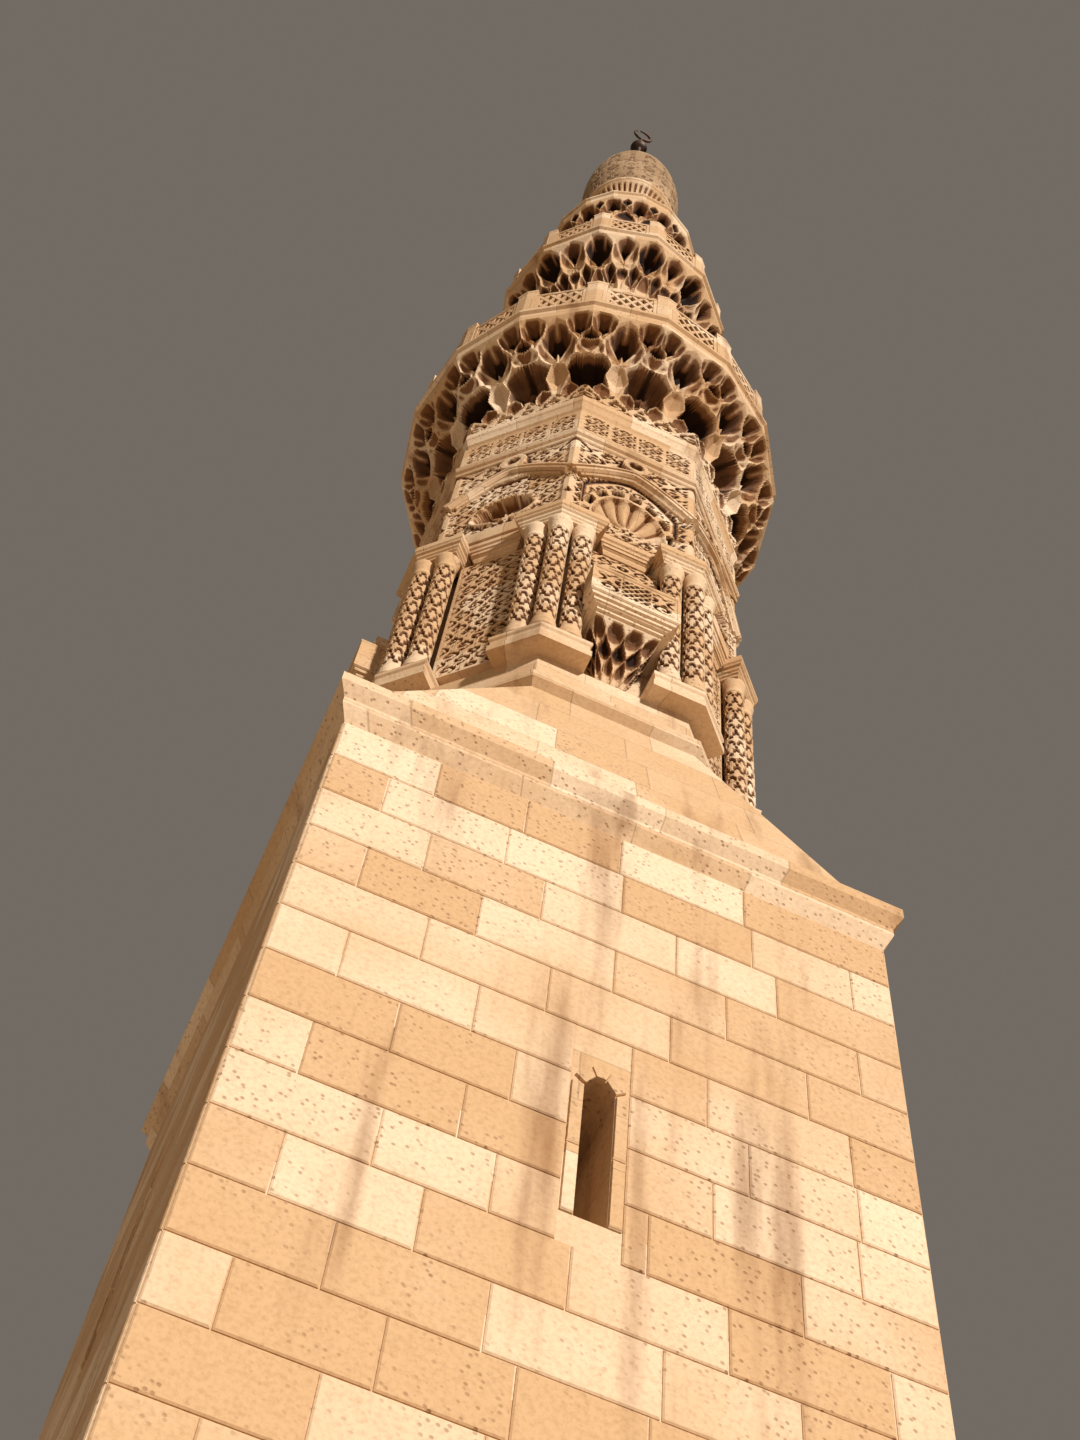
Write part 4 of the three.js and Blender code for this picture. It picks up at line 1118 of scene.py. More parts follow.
# %% Loft and lathe
def grown(plan, distance):
    """The plan with every side moved outwards by a distance."""
    plan = np.asarray(plan, float)
    before, after = np.roll(plan, 1, 0), np.roll(plan, -1, 0)

    def outward(a, b):
        side = b - a
        side = side / np.linalg.norm(side, axis=1)[:, None]
        return np.stack([side[:, 1], -side[:, 0]], -1)

    n1, n2 = outward(before, plan), outward(plan, after)
    mitre = (n1 + n2) / (1 + (n1 * n2).sum(1))[:, None]
    return plan + mitre * distance


def loft(name, plan, levels):
    """Anticlockwise plan raised through levels of (height, growth)."""
    count = len(plan)
    rings = [np.column_stack([grown(plan, growth), np.full(count, height)]) for height, growth in levels]
    points = np.vstack(rings)
    return new_piece(name, points, capped_loops(len(levels), count), np.zeros(len(points)))


def lathe(name, profile, sides, x=0.0, y=0.0):
    """Profile of (radius, height) from bottom to top, turned about an upright axis, ends closed."""
    angle = np.linspace(0, 2 * math.pi, sides, endpoint=False)
    rings = [
        np.column_stack([x + radius * np.cos(angle), y + radius * np.sin(angle), np.full(sides, z)])
        for radius, z in profile
    ]
    points = np.vstack(rings)
    faces = capped_loops(len(profile), sides)
    return new_piece(name, points, faces, np.zeros(len(points)), smooth_faces=True)


def folded_plan(wall, front, back, length, sides):
    """Plan of a bar that turns a polygon's front corner, with its sides at two distances."""
    half = math.pi / sides
    along = np.array([math.cos(half), math.sin(half)])
    outward = np.array([math.sin(half), -math.cos(half)])
    end = np.array([0, -wall / math.cos(half)]) + along * length
    far, near = end + outward * (front - wall), end + outward * (back - wall)
    mirror = np.array([-1, 1])
    return np.array([
        [0, -front / math.cos(half)], far, near, [0, -back / math.cos(half)], near * mirror, far * mirror,
    ])


def face_matrix(azimuth):
    """The turn that takes a piece from the front to a direction."""
    return Matrix.Rotation(math.radians(azimuth + 90), 4, "Z")


print("loft and lathe ready")

# %% [markdown]
# ## Carved shafts
#
# The colonnettes are carved all over: row upon row of small arches, staggered, each cut deep under
# its ridge, with painted shade in the cut. Their shape follows a rule, so a Geometry Nodes tree makes
# them: it works out each point's place in its row and in its arch, pushes the point in where the arch
# is cut, and stores the cut as painted shade.


# %% The tree for a chevron shaft
def chevron_tree():
    g, (radius, length, pitch, depth, sides, rows, material) = tree_with_inputs("chevron_shaft", {
        "Radius": "Float", "Length": "Float", "Pitch": "Float", "Depth": "Float", "Sides": "Int",
        "Rows": "Int", "Material": "Material",
    })
    shaft = g.node(
        "GeometryNodeMeshCylinder", {"fill_type": "NGON"},
        {"Vertices": sides, "Side Segments": rows, "Radius": radius, "Depth": length},
    )
    position = g.node("GeometryNodeInputPosition")
    x, y, z = g.node("ShaderNodeSeparateXYZ", sockets={0: position}, out=("X", "Y", "Z"))
    level = z / pitch + 40
    row = g.math("FLOOR", level)
    turn = g.math("ARCTAN2", y, x) * (3 / math.pi) + 20 + row * 0.5
    across = g.math("PINGPONG", turn, 0.5) * 2
    arch = level - row + across * across * 0.75
    rise = {"interpolation_type": "SMOOTHSTEP"}
    under = g.node("ShaderNodeMapRange", rise, {"Value": arch, 1: 0.62, 2: 0.74})
    over = g.node("ShaderNodeMapRange", rise, {"Value": arch, 1: 0.92, 2: 1.04})
    cut = under * (1 - over)
    keep = g.node("GeometryNodeCaptureAttribute", sockets={"Geometry": shaft}, out=None)
    keep.capture_items.new("FLOAT", "cut")
    g.tree.links.new(cut.socket, keep.inputs[1])
    held, value = Wire(g, keep.outputs[0]), Wire(g, keep.outputs[1])
    shrink = 1 - (value * depth) / radius
    place = g.node("ShaderNodeCombineXYZ", sockets={0: x * shrink, 1: y * shrink, 2: z})
    moved = g.node("GeometryNodeSetPosition", sockets={"Geometry": held, "Position": place})
    # Painted shade: the cut is stored in the attribute that darkens the stone there.
    marked = g.node(
        "GeometryNodeStoreNamedAttribute", {"data_type": "FLOAT", "domain": "POINT"},
        {"Geometry": moved, "Name": "dust_and_shade", "Value": value * 0.85},
    )
    real = g.node("GeometryNodeRealizeInstances", sockets={"Geometry": marked})
    return end_tree(g, real, material)


chevron_shaft = chevron_tree()


def carved_shaft(radius, bottom, top, x, y):
    """A shaft from the tree, set upright at a place."""
    piece = new_piece("shaft", np.zeros((1, 3)), [])
    run_tree(piece, chevron_shaft, Radius=radius, Length=top - bottom, Pitch=0.136, Depth=0.018,
             Sides=30, Rows=84, Material=limestone)
    piece.data.transform(Matrix.Translation((x, y, (bottom + top) / 2)))
    return piece


print("tree:", chevron_shaft.name)

# %% [markdown]
# ## Clusters of colonnettes
#
# At each corner three colonnettes stand free of the wall between a footing and a folded ledge of
# several mouldings. One cluster is built at the front and repeated eight times. The bases and the
# capitals are turned bells with a necking ring.


# %% One cluster, eight times
SHAFT_RADIUS, SHAFT_SPACING, SHAFTS_OUT = 0.080, 0.188, 1.34
BASE_PROFILE = [
    (0.098, 13.695), (0.098, 13.72), (0.088, 13.74), (0.096, 13.77), (0.094, 13.80), (0.082, 13.83),
    (0.086, 13.85), (0.078, 13.87),
]
CAPITAL_PROFILE = [
    (0.074, 15.49), (0.086, 15.50), (0.086, 15.52), (0.078, 15.53), (0.080, 15.58), (0.092, 15.64),
    (0.099, 15.68), (0.099, 15.705),
]
FOOTING_LEVELS = [
    (FOOTING_BOTTOM, 0), (13.53, 0), (13.55, -0.012), (13.60, -0.012), (13.62, 0), (13.66, 0),
    (FOOTING_TOP, -0.02),
]
LEDGE_LEVELS = [
    (LEDGE_BOTTOM, -0.055), (15.72, -0.055), (15.735, -0.042), (15.755, -0.042), (15.77, -0.03),
    (15.80, -0.028), (15.815, -0.012), (15.84, -0.010), (15.855, 0.0), (15.90, 0.0), (15.91, -0.008),
    (LEDGE_TOP, -0.008),
]


def column_cluster():
    """Footing, three colonnettes and ledge at one corner, repeated eight times."""
    half = math.pi / 8
    back = NICHE_FACE + 0.0003
    parts = [loft("footing", folded_plan(OCTAGON_FACE, 1.445, back, 0.32, 8), FOOTING_LEVELS)]
    for side in (-1, 0, 1):
        x = side * SHAFT_SPACING * math.cos(half)
        y = -SHAFTS_OUT / math.cos(half) + abs(side) * SHAFT_SPACING * math.sin(half)
        parts.append(lathe("base", BASE_PROFILE, 16, x, y))
        parts.append(carved_shaft(SHAFT_RADIUS, 13.86, 15.50, x, y))
        parts.append(lathe("capital", CAPITAL_PROFILE, 16, x, y))
    parts.append(loft("ledge", folded_plan(OCTAGON_FACE, 1.465, back, 0.33, 8), LEDGE_LEVELS))
    cluster = joined("column_clusters", parts)
    cluster.data.transform(face_matrix(OCTAGON_CORNER))
    return repeat(cluster, 8)


set_in_place(column_cluster(), limestone, "limestone", *nodes_named("column_cluster_"))

# %% [markdown]
# ## Slabs of relief
#
# Carved panels are set between the clusters, in the round storey and on the small balconies. Each is
# a slab whose front follows a pattern. The helper closes the slab behind, so that it is a solid stone.


# %% Relief slab
def relief_slab(name, x, z, distance, back, relief, dust_and_shade):
    """A slab that faces the front: relief stands out from distance, and the back is plain."""
    rows, columns = relief.shape
    z = np.broadcast_to(z if np.ndim(z) == 2 else z[:, None], relief.shape)
    depth = np.vstack([np.full(columns, back), distance + relief, np.full(columns, back)])
    level = np.vstack([z[:1], z, z[-1:]])
    points = np.stack([np.repeat(x[None, :], rows + 2, 0), -depth, level], -1)
    tone = np.zeros((rows + 2, columns))
    tone[1:-1] = dust_and_shade
    return new_piece(name, points.reshape(-1, 3), capped_strips(rows + 2, columns), tone.ravel())


def framed_scrolls(x, z, size, frame, deep=0.024):
    """Foliage inside a plain frame, as relief below the slab's face."""
    edge = np.minimum(np.minimum(x[None, :] - x[0], x[-1] - x[None, :]),
                      np.minimum(z[:, None] - z[0], z[-1] - z[:, None]))
    middle = (x[0] + x[-1]) / 2
    stems = scrolls(np.abs(x[None, :] - middle), z[:, None], size, 0.36)
    field = smooth(frame, frame + 0.01, edge)
    relief = -deep * field * (1 - stems)
    # The second value is painted shade on the ground round the stems.
    return relief, np.clip(-relief / deep, 0, 1)


print("slabs ready")

# %% [markdown]
# ## Blind panels between the clusters
#
# The four faces without a balcony have a tall panel of close foliage behind the colonnettes, under a
# plain moulding that joins the two ledges. The panel is a relief slab and the moulding a loft.


# %% Tall panels and mouldings
def tall_panels():
    """Panels of foliage behind the colonnettes of the diagonal faces."""
    x = np.linspace(-0.285, 0.285, 45)
    z = np.linspace(13.72, 15.705, 118)
    relief, dust_and_shade = framed_scrolls(x, z, 0.135, 0.02)
    panel = relief_slab("tall_panels", x, z, 1.262, NICHE_FACE - 0.05, relief, dust_and_shade)
    panel.data.transform(face_matrix(-45))
    return repeat(panel, 4)


def recessed_mouldings():
    """Mouldings over the recess, from ledge to ledge."""
    plan = [(-0.235, -1.335), (0.235, -1.335), (0.235, -1.20), (-0.235, -1.20)]
    part = loft("recessed_mouldings", plan, [
        (15.70, -0.062), (15.735, -0.050), (15.76, -0.050), (15.775, -0.034), (15.815, -0.032),
        (15.83, -0.016), (15.87, -0.014), (15.885, 0.0), (15.93, 0.0), (15.945, -0.010), (15.998, -0.014),
    ])
    return repeat(part, 8)


set_in_place(tall_panels(), limestone, "limestone")
set_in_place(recessed_mouldings(), limestone, "limestone")

# %% [markdown]
# ## Doorways and small balconies
#
# On the other four faces a low doorway opens on a balcony that is barely a step deep. Its floor is a
# stack of fine mouldings, its parapet is carved, and a corbel of small scalloped cells carries it.
# The corbel leans out from the wall to the balcony's edge, and the rule of the rings shares it out
# between cells too. Here a share of the balcony's outline, times 100, takes the place of the degrees
# round the tower, and the surface is 0 at the wall and 1 at the edge.


# %% Scalloped corbel
def balcony_outline(count):
    """Points along the balcony's edge, from the wall round to the wall, and their share of it."""
    half, front, wall = 0.245, 1.485, 1.17
    length = np.array([front - wall, 2 * half, front - wall])
    run = np.linspace(0, length.sum(), count)
    corners = [0, length[0], length[0] + length[1], length.sum()]
    x = np.interp(run, corners, [-half, -half, half, half])
    y = np.interp(run, corners, [wall, front, front, wall])
    return x, y, run / length.sum()


CORBEL_CELLS = [
    {"count": 360 / 14, "middle": 7, "half": 6.2, "level": 13.985, "rise": 0.10, "drop": 0.09,
     "shape": BOWL_SHAPE, "keep": 0.35, "back": 0.13, "dark": 0.6, "fold": 0.4, "wall": 0.3,
     "last": True, "lit": (-0.3, 0.4)},
    {"count": 360 / 14, "middle": 0, "half": 5.6, "level": 13.865, "rise": 0.10, "drop": 0.10,
     "shape": POINTED, "keep": 0.35, "back": 0.13, "dark": 0.8, "fold": 0.4, "wall": 0.3,
     "lit": (-0.4, 0.3)},
    {"count": 360 / 14, "middle": 7, "half": 4.8, "level": 13.745, "rise": 0.09, "drop": 0.10,
     "shape": BOWL_SHAPE, "keep": 0.35, "back": 0.10, "dark": 0.6, "fold": 0.4, "wall": 0.3,
     "lit": (-0.3, 0.4)},
]


def scalloped_corbel():
    """A corbel that leans out from the wall in three tiers of cells."""
    low, high, wall = 13.585, 14.095, 1.165
    x, y, share = balcony_outline(97)
    z = np.linspace(low, high, 52)

    def lean(azimuth, height):
        return np.clip((height - low) / (high - low), 0, 1) ** 1.1 + 0 * azimuth

    along = (share[None, :] - 0.5) * 100
    out, dark = carve_cells(along, z[:, None], lean, CORBEL_CELLS, low, high - 0.01)
    out = np.clip(out, 0, 1)
    px = x[None, :] * (0.36 + 0.64 * out)
    py = wall + (y[None, :] - wall) * (0.10 + 0.90 * out)
    points = np.stack([px, -py, np.repeat(z[:, None], len(share), 1)], -1)
    count, last = len(share), (len(z) - 1) * len(share)
    left = list(range(0, last + count, count))
    right = [corner + count - 1 for corner in left]
    faces = [list(f) for f in grid_faces(len(z), count)]
    faces += [left + right[::-1], list(range(count))[::-1], list(range(last, last + count))]
    # The cells' painted shade goes with the mesh.
    return new_piece("corbel", points.reshape(-1, 3), faces, dark.ravel())


print("corbel ready")

# %% [markdown]
# ## Floor and parapet
#
# The rest of a small balcony is dressed stone: a moulded floor, a carved front panel, two plain side
# panels and a rail. The floor and the rail are lofts, and the front panel is a relief slab with a
# lattice in its middle square. The moulded edge under the floor turns back into the wall.


# %% The small balconies
def parapet_panel(width, bottom, top, nx, nz):
    """Relief of a parapet: foliage on both sides of a square with a lattice."""
    x = np.linspace(-width / 2, width / 2, nx)
    z = np.linspace(bottom, top, nz)
    across, up = x[None, :], z[:, None]
    edge = np.minimum(width / 2 - np.abs(across), np.minimum(up - bottom, top - up))
    field = smooth(0.028, 0.036, edge)
    square = 0.115
    in_square = np.abs(across) < square
    split = smooth(0.012, 0.006, np.abs(np.abs(across) - square))
    stems = scrolls(np.abs(across) - square, up - bottom - 0.03, 0.145, 0.36)
    centre = (bottom + top) / 2
    rising = np.abs(np.cos((across + up - centre) * 42))
    falling = np.abs(np.cos((across - up + centre) * 42))
    stems = np.where(in_square, smooth(0.80, 0.9, np.maximum(rising, falling)), stems)
    relief = -0.026 * field * (1 - np.maximum(stems, split))
    # The last value is painted shade on the ground round the stems and the lattice.
    return x, z, relief, np.clip(-relief / 0.026, 0, 1)


EDGE_LEVELS = [
    (14.09, -0.11), (14.105, -0.11), (14.112, -0.088), (14.136, -0.084), (14.142, -0.062),
    (14.150, -0.062), (14.156, -0.046), (14.180, -0.040), (14.186, -0.022), (14.2155, -0.016),
]


def small_balcony():
    """Corbel, floor, parapet and rail of one balcony, repeated four times."""
    half, front, wall = 0.335, -1.592, -1.161
    parts = [scalloped_corbel()]
    plan = [
        (-half, front), (half, front), (half, -1.44), (0.25, -1.44),
        (0.25, wall), (-0.25, wall), (-0.25, -1.44), (-half, -1.44),
    ]
    parts.append(loft("balcony_floor", plan, [(14.215, -0.012), (14.225, 0.0), (14.26, 0.0)]))
    rings = []
    for z, out in EDGE_LEVELS:
        near, far = (front - out, z), (wall, z)
        rings += [(-half - out, *near), (half + out, *near), (half + out, *far), (-half - out, *far)]
    faces = capped_loops(len(EDGE_LEVELS), 4)
    parts.append(new_piece("moulded_edge", rings, faces, np.zeros(len(rings))))
    x, z, relief, dust_and_shade = parapet_panel(0.64, 14.255, 14.60, 81, 40)
    parts.append(relief_slab("front_panel", x, z, 1.588, 1.54, relief, dust_and_shade))
    for left, right in ((-0.338, -0.31), (0.31, 0.338)):
        side = [(left, -1.594), (right, -1.594), (right, -1.44), (left, -1.44)]
        parts.append(loft("side_panel", side, [(14.255, -0.002), (14.60, -0.002)]))
    rail = [
        (-0.338, -1.597), (0.338, -1.597), (0.338, -1.437), (0.292, -1.437),
        (0.292, -1.545), (-0.292, -1.545), (-0.292, -1.437), (-0.338, -1.437),
    ]
    parts.append(loft("rail", rail, [(14.598, -0.006), (14.612, 0.0), (14.63, 0.0), (14.64, -0.008)]))
    return repeat(joined("small_balconies", parts), 4)


set_in_place(small_balcony(), limestone, "limestone", *nodes_named("small_balcony_"))

# %% [markdown]
# ## Doorway arches
#
# A flat carved arch with a moulded edge closes the head of each doorway, over two carved jambs. The
# arch is a relief slab whose lower rows follow the curve of the opening.


# %% Arches and jambs of the doorways
def doorway_arches():
    """A flat carved arch over each balcony door, with a moulded edge, and its two jambs."""
    half, wide, sill, spring, top = 0.215, 0.285, 14.265, 15.33, 15.705
    left, right = np.linspace(-wide, -half, 7)[:-1], np.linspace(half, wide, 7)[1:]
    x = np.concatenate([left, np.linspace(-half, half, 35), right])
    across = np.abs(x)[None, :]
    opening = spring + 0.15 * np.sqrt(np.clip(1 - (across / half) ** 2, 0, 1))
    share = np.linspace(0, 1, 26)[:, None]
    z = opening + (top - opening) * share
    above = z - opening
    rim = smooth(0.0, 0.008, above) * smooth(0.05, 0.042, above)
    stems = scrolls(across, z, 0.12, 0.38)
    relief = np.maximum(-0.020 * (1 - stems), -0.02 + 0.035 * rim)
    # Painted shade on the ground between the stems; the moulded rim stays light.
    dust_and_shade = np.where(rim > 0.1, 0.0, (1 - stems))
    parts = [relief_slab("head", x, z, 1.262, NICHE_FACE - 0.04, relief, dust_and_shade)]
    level = np.linspace(sill, spring, 60)
    for side in (-1, 1):
        jamb = np.sort(np.linspace(half, wide, 9) * side)
        face, tone = framed_scrolls(jamb, level, 0.075, 0.008, 0.014)
        parts.append(relief_slab("jamb", jamb, level, 1.258, NICHE_FACE - 0.04, face, tone))
    return repeat(joined("doorway_arches", parts), 4)


set_in_place(doorway_arches(), limestone, "limestone")

# %% [markdown]
# ## Balustrades
#
# Both balconies have a railing of stone: flat posts folded round the corners, and between them thin
# panels pierced with strapwork. The strapwork is a grid of crossed bars, so a Geometry Nodes tree
# makes a panel from its width, its height and the number of crossings.


# %% The tree for a pierced panel
def strapwork_tree():
    g, (width, height, bar, depth, across, up, material) = tree_with_inputs("strapwork_panel", {
        "Width": "Float", "Height": "Float", "Bar": "Float", "Depth": "Float", "Across": "Int",
        "Up": "Int", "Material": "Material",
    })
    cell_width, cell_height = width / across, height / up
    length = g.math("SQRT", cell_width * cell_width + cell_height * cell_height)
    lean = g.math("ARCTAN2", cell_height, cell_width)
    bars = []
    for sign in (1, -1):
        thick = depth * (1.0 if sign > 0 else 0.9)
        size = g.node("ShaderNodeCombineXYZ", sockets={0: length, 1: thick, 2: bar})
        cube = g.node("GeometryNodeMeshCube", sockets={"Size": size})
        turn = g.node("ShaderNodeCombineXYZ", sockets={1: lean * sign})
        bars.append(g.node("GeometryNodeTransform", sockets={"Geometry": cube, "Rotation": turn}))
    cross = g.node("GeometryNodeJoinGeometry", sockets={"Geometry": bars})
    grid = g.node("GeometryNodeMeshGrid", sockets={
        "Size X": width - cell_width, "Size Y": height - cell_height,
        "Vertices X": across, "Vertices Y": up,
    })
    upright = g.node("GeometryNodeTransform", sockets={"Geometry": grid, "Rotation": (math.pi / 2, 0, 0)})
    crossings = g.node("GeometryNodeInstanceOnPoints", sockets={"Points": upright, "Instance": cross})
    edges = []
    for sign in (1, -1):
        side = g.node("ShaderNodeCombineXYZ", sockets={0: bar, 1: depth * 1.25, 2: height + bar})
        post = g.node("GeometryNodeMeshCube", sockets={"Size": side})
        shift = g.node("ShaderNodeCombineXYZ", sockets={0: width * (0.5 * sign)})
        edges.append(g.node("GeometryNodeTransform", sockets={"Geometry": post, "Translation": shift}))
        rail = g.node("ShaderNodeCombineXYZ", sockets={0: width + bar, 1: depth * 1.25, 2: bar})
        level = g.node("GeometryNodeMeshCube", sockets={"Size": rail})
        lift = g.node("ShaderNodeCombineXYZ", sockets={2: height * (0.5 * sign)})
        edges.append(g.node("GeometryNodeTransform", sockets={"Geometry": level, "Translation": lift}))
    whole = g.node("GeometryNodeJoinGeometry", sockets={"Geometry": [crossings, *edges]})
    real = g.node("GeometryNodeRealizeInstances", sockets={"Geometry": whole})
    return end_tree(g, real, material)


strapwork_panel = strapwork_tree()
print("tree:", strapwork_panel.name)

# %% [markdown]
# ## Posts, panels and rails
#
# One bay of a balustrade is a post folded round a corner of the floor, the pierced panel beside it,
# and the sill and the rail that hold the panel. A bay is made once and repeated round the balcony, so
# both balustrades come from one function, with the balcony's measures as its input.


# %% Posts and panels
def balustrade(name, balcony, post_height, panel_height, across, up):
    """One bay, a post with a panel between sill and rail, repeated on every side."""
    top, sides = balcony["top"], balcony["sides"]
    corner = balcony["corner"] - 0.034
    face = corner * math.cos(math.pi / sides)
    side = 2 * face * math.tan(math.pi / sides)
    foot, post_reach = top + 0.0003, 0.112
    plan = folded_plan(face, face, face - 0.088, post_reach, sides)
    post = loft("post", plan, [
        (foot, 0.0), (foot + 0.05, 0.0), (foot + 0.062, -0.007), (foot + post_height - 0.10, -0.007),
        (foot + post_height - 0.085, 0.0), (foot + post_height - 0.04, 0.0),
        (foot + post_height - 0.012, -0.02), (foot + post_height, -0.036),
    ])
    bar = 0.036
    width, height = side - 2 * post_reach, panel_height - 0.07
    panel = new_piece("panel", np.zeros((1, 3)), [])
    run_tree(panel, strapwork_panel, Width=width - bar + 0.01, Height=height, Bar=bar, Depth=0.05,
             Across=across, Up=up, Material=limestone)
    panel.data.transform(Matrix.Translation((0, -(face - 0.045), foot + 0.05 + height / 2)))
    panel.data.transform(Matrix.Rotation(math.pi / sides, 4, "Z"))
    half, near, far = width / 2 + 0.01, -(face - 0.008), -(face - 0.082)
    sill_plan = [(-half, near), (half, near), (half, far), (-half, far)]
    sill = loft("sill", sill_plan, [(foot, 0.0), (foot + 0.045, 0.0)])
    rail = loft("rail", sill_plan, [
        (foot + 0.045 + height, -0.006), (foot + 0.06 + height, 0.0), (foot + panel_height - 0.01, 0.0),
        (foot + panel_height, -0.008),
    ])
    for part in (sill, rail):
        part.data.transform(Matrix.Rotation(math.pi / sides, 4, "Z"))
    bay = joined(name, [post, panel, sill, rail])
    return repeat(bay, sides)


set_in_place(balustrade("balustrade_1", BALCONY_1, 0.80, 0.60, 4, 2), limestone, "limestone",
             "balustrade_1_front", "balustrade_1_back")
set_in_place(balustrade("balustrade_2", BALCONY_2, 0.80, 0.56, 4, 2), limestone, "limestone",
             "balustrade_2_front", "balustrade_2_back")

# %% [markdown]
# ## Round storey
#
# Most of the round storey hides behind the first balustrade. Its walls and doorways are the solids'
# own. Arched mouldings frame the tall panels and foliage fills those without a door. The photograph
# shows an arch just above the railing.


# %% Curved slabs for the panels
ROUND_START = -121.5


def curved_panel(azimuth_middle):
    """A slab whose arched field stands 45 mm in front of its ground, carved with foliage."""
    x = np.linspace(-0.262, 0.262, 27)
    z = np.linspace(21.02, 24.45, 100)
    across, up = np.abs(x)[None, :], z[:, None]
    crown = 23.95 + 0.5 * (1 - (across / 0.27) ** 1.7)
    inside = smooth(0.0, 0.02, crown - up)
    edge = np.minimum(0.262 - across, crown - up)
    stems = scrolls(across, up, 0.2, 0.36)
    relief = -0.03 * (1 - stems) * smooth(0.03, 0.045, edge)
    front = 0.935 + (0.045 + relief) * inside
    # Painted shade on the ground of the arched field.
    dust_and_shade = np.clip(-relief / 0.03, 0, 1) * 0.8 * inside
    panel = relief_slab("panel", x, z, 0.0, 0.90, front, dust_and_shade)
    panel.data.transform(face_matrix(azimuth_middle))
    return panel


def round_carvings():
    """The six panels without a door."""
    turns = (67.5, 112.5, 157.5, 247.5, 292.5, 337.5)
    return joined("round_panels", [curved_panel(ROUND_START + turn) for turn in turns])


def arch_frames():
    """A moulding that follows each panel's edge, from foot to crown and down again."""
    half = 0.285
    across = np.linspace(-half, half, 25)
    x = np.concatenate([np.full(8, -half), across, np.full(8, half)])
    crown = 23.96 + 0.54 * (1 - (np.abs(across) / half) ** 1.7)
    z = np.concatenate([np.linspace(20.95, 23.80, 8), crown, np.linspace(23.80, 20.95, 8)])
    section = [
        (-0.028, 0.0), (-0.028, 0.022), (-0.008, 0.034), (0.012, 0.034), (0.028, 0.018), (0.028, 0.0),
    ]

    def round_wall(px):
        return np.sqrt(ROUND_RADIUS ** 2 - px ** 2) - 0.02

    arch = swept("arch_frames", x, z, section, round_wall)
    arch.data.transform(face_matrix(ROUND_START + 22.5))
    return repeat(arch, 8)


set_in_place(round_carvings(), limestone, "limestone")
set_in_place(arch_frames(), limestone, "limestone")

# %% [markdown]
# ## Pavilion
#
# Eight slender columns stand on a kerb and carry an octagonal beam. They are turned pieces with a
# bell base and a flared capital, repeated round the axis.


# %% Kerb, columns and beam
KERB_LEVELS = [(26.1103, 0.0), (26.30, 0.0), (26.315, 0.0), (26.34, -0.015), (26.36, -0.02)]
BEAM_LEVELS = [
    (28.3003, -0.02), (28.34, -0.02), (28.36, 0.0), (28.42, 0.0), (28.44, -0.012), (28.48, -0.012),
]
COLUMN_PROFILE = [
    (0.105, 26.355), (0.105, 26.39), (0.088, 26.42), (0.098, 26.45), (0.094, 26.48), (0.078, 26.52),
    (0.078, 27.2), (0.074, 28.02), (0.084, 28.03), (0.084, 28.05), (0.075, 28.07), (0.085, 28.13),
    (0.104, 28.20), (0.108, 28.24), (0.108, 28.30),
]


def octagon_frame(name, out, inside, mould):
    """An octagonal frame between two distances, its outside raised through (height, growth)."""
    height = [level for level, _ in mould]
    azimuth = np.array([CROWN_TURN, CROWN_TURN + 22.5, CROWN_TURN + 45])
    spread = 1 / np.cos(np.radians([22.5, 0, 22.5]))
    radius = np.array([[(out + growth) * s for s in spread] for _, growth in mould])
    piece = ring_sector(name, azimuth, np.array(height), radius, inside * spread)
    return repeat(piece, 8)


def pavilion():
    """Kerb and columns, in one piece."""
    kerb = octagon_frame("kerb", 0.905, 0.675, KERB_LEVELS)
    reach = 0.79 / math.cos(math.pi / 8)
    column = lathe("column", COLUMN_PROFILE, 24, 0.0, -reach)
    column.data.transform(face_matrix(CROWN_TURN))
    return joined("pavilion", [kerb, repeat(column, 8)])


set_in_place(pavilion(), limestone, "limestone", "pavilion_columns")
beam = octagon_frame("pavilion_beams", 0.895, 0.685, BEAM_LEVELS)
set_in_place(beam, limestone, "limestone", "pavilion_beam")

# %% [markdown]
# ## Neck and bulb
#
# A slim neck with a dentilled hollow moulding carries the bulb, a tall stone that is shaped like a
# closed bud. Its surface is darker than the tower and lightly carved. Both are turned shapes whose
# radius also changes a little with the direction, so the ring helper makes them too.


# %% Neck
NECK_BOTTOM, NECK_TOP = 29.8003, 32.40
NECK_PROFILE = [
    (NECK_BOTTOM, 0.56), (29.95, 0.56), (30.02, 0.51), (30.06, 0.50), (31.5, 0.50), (31.55, 0.53),
    (31.62, 0.53), (31.66, 0.51), (31.9, 0.545), (32.10, 0.605), (32.20, 0.665), (32.24, 0.69),
    (32.29, 0.69), (32.31, 0.712), (NECK_TOP, 0.712),
]


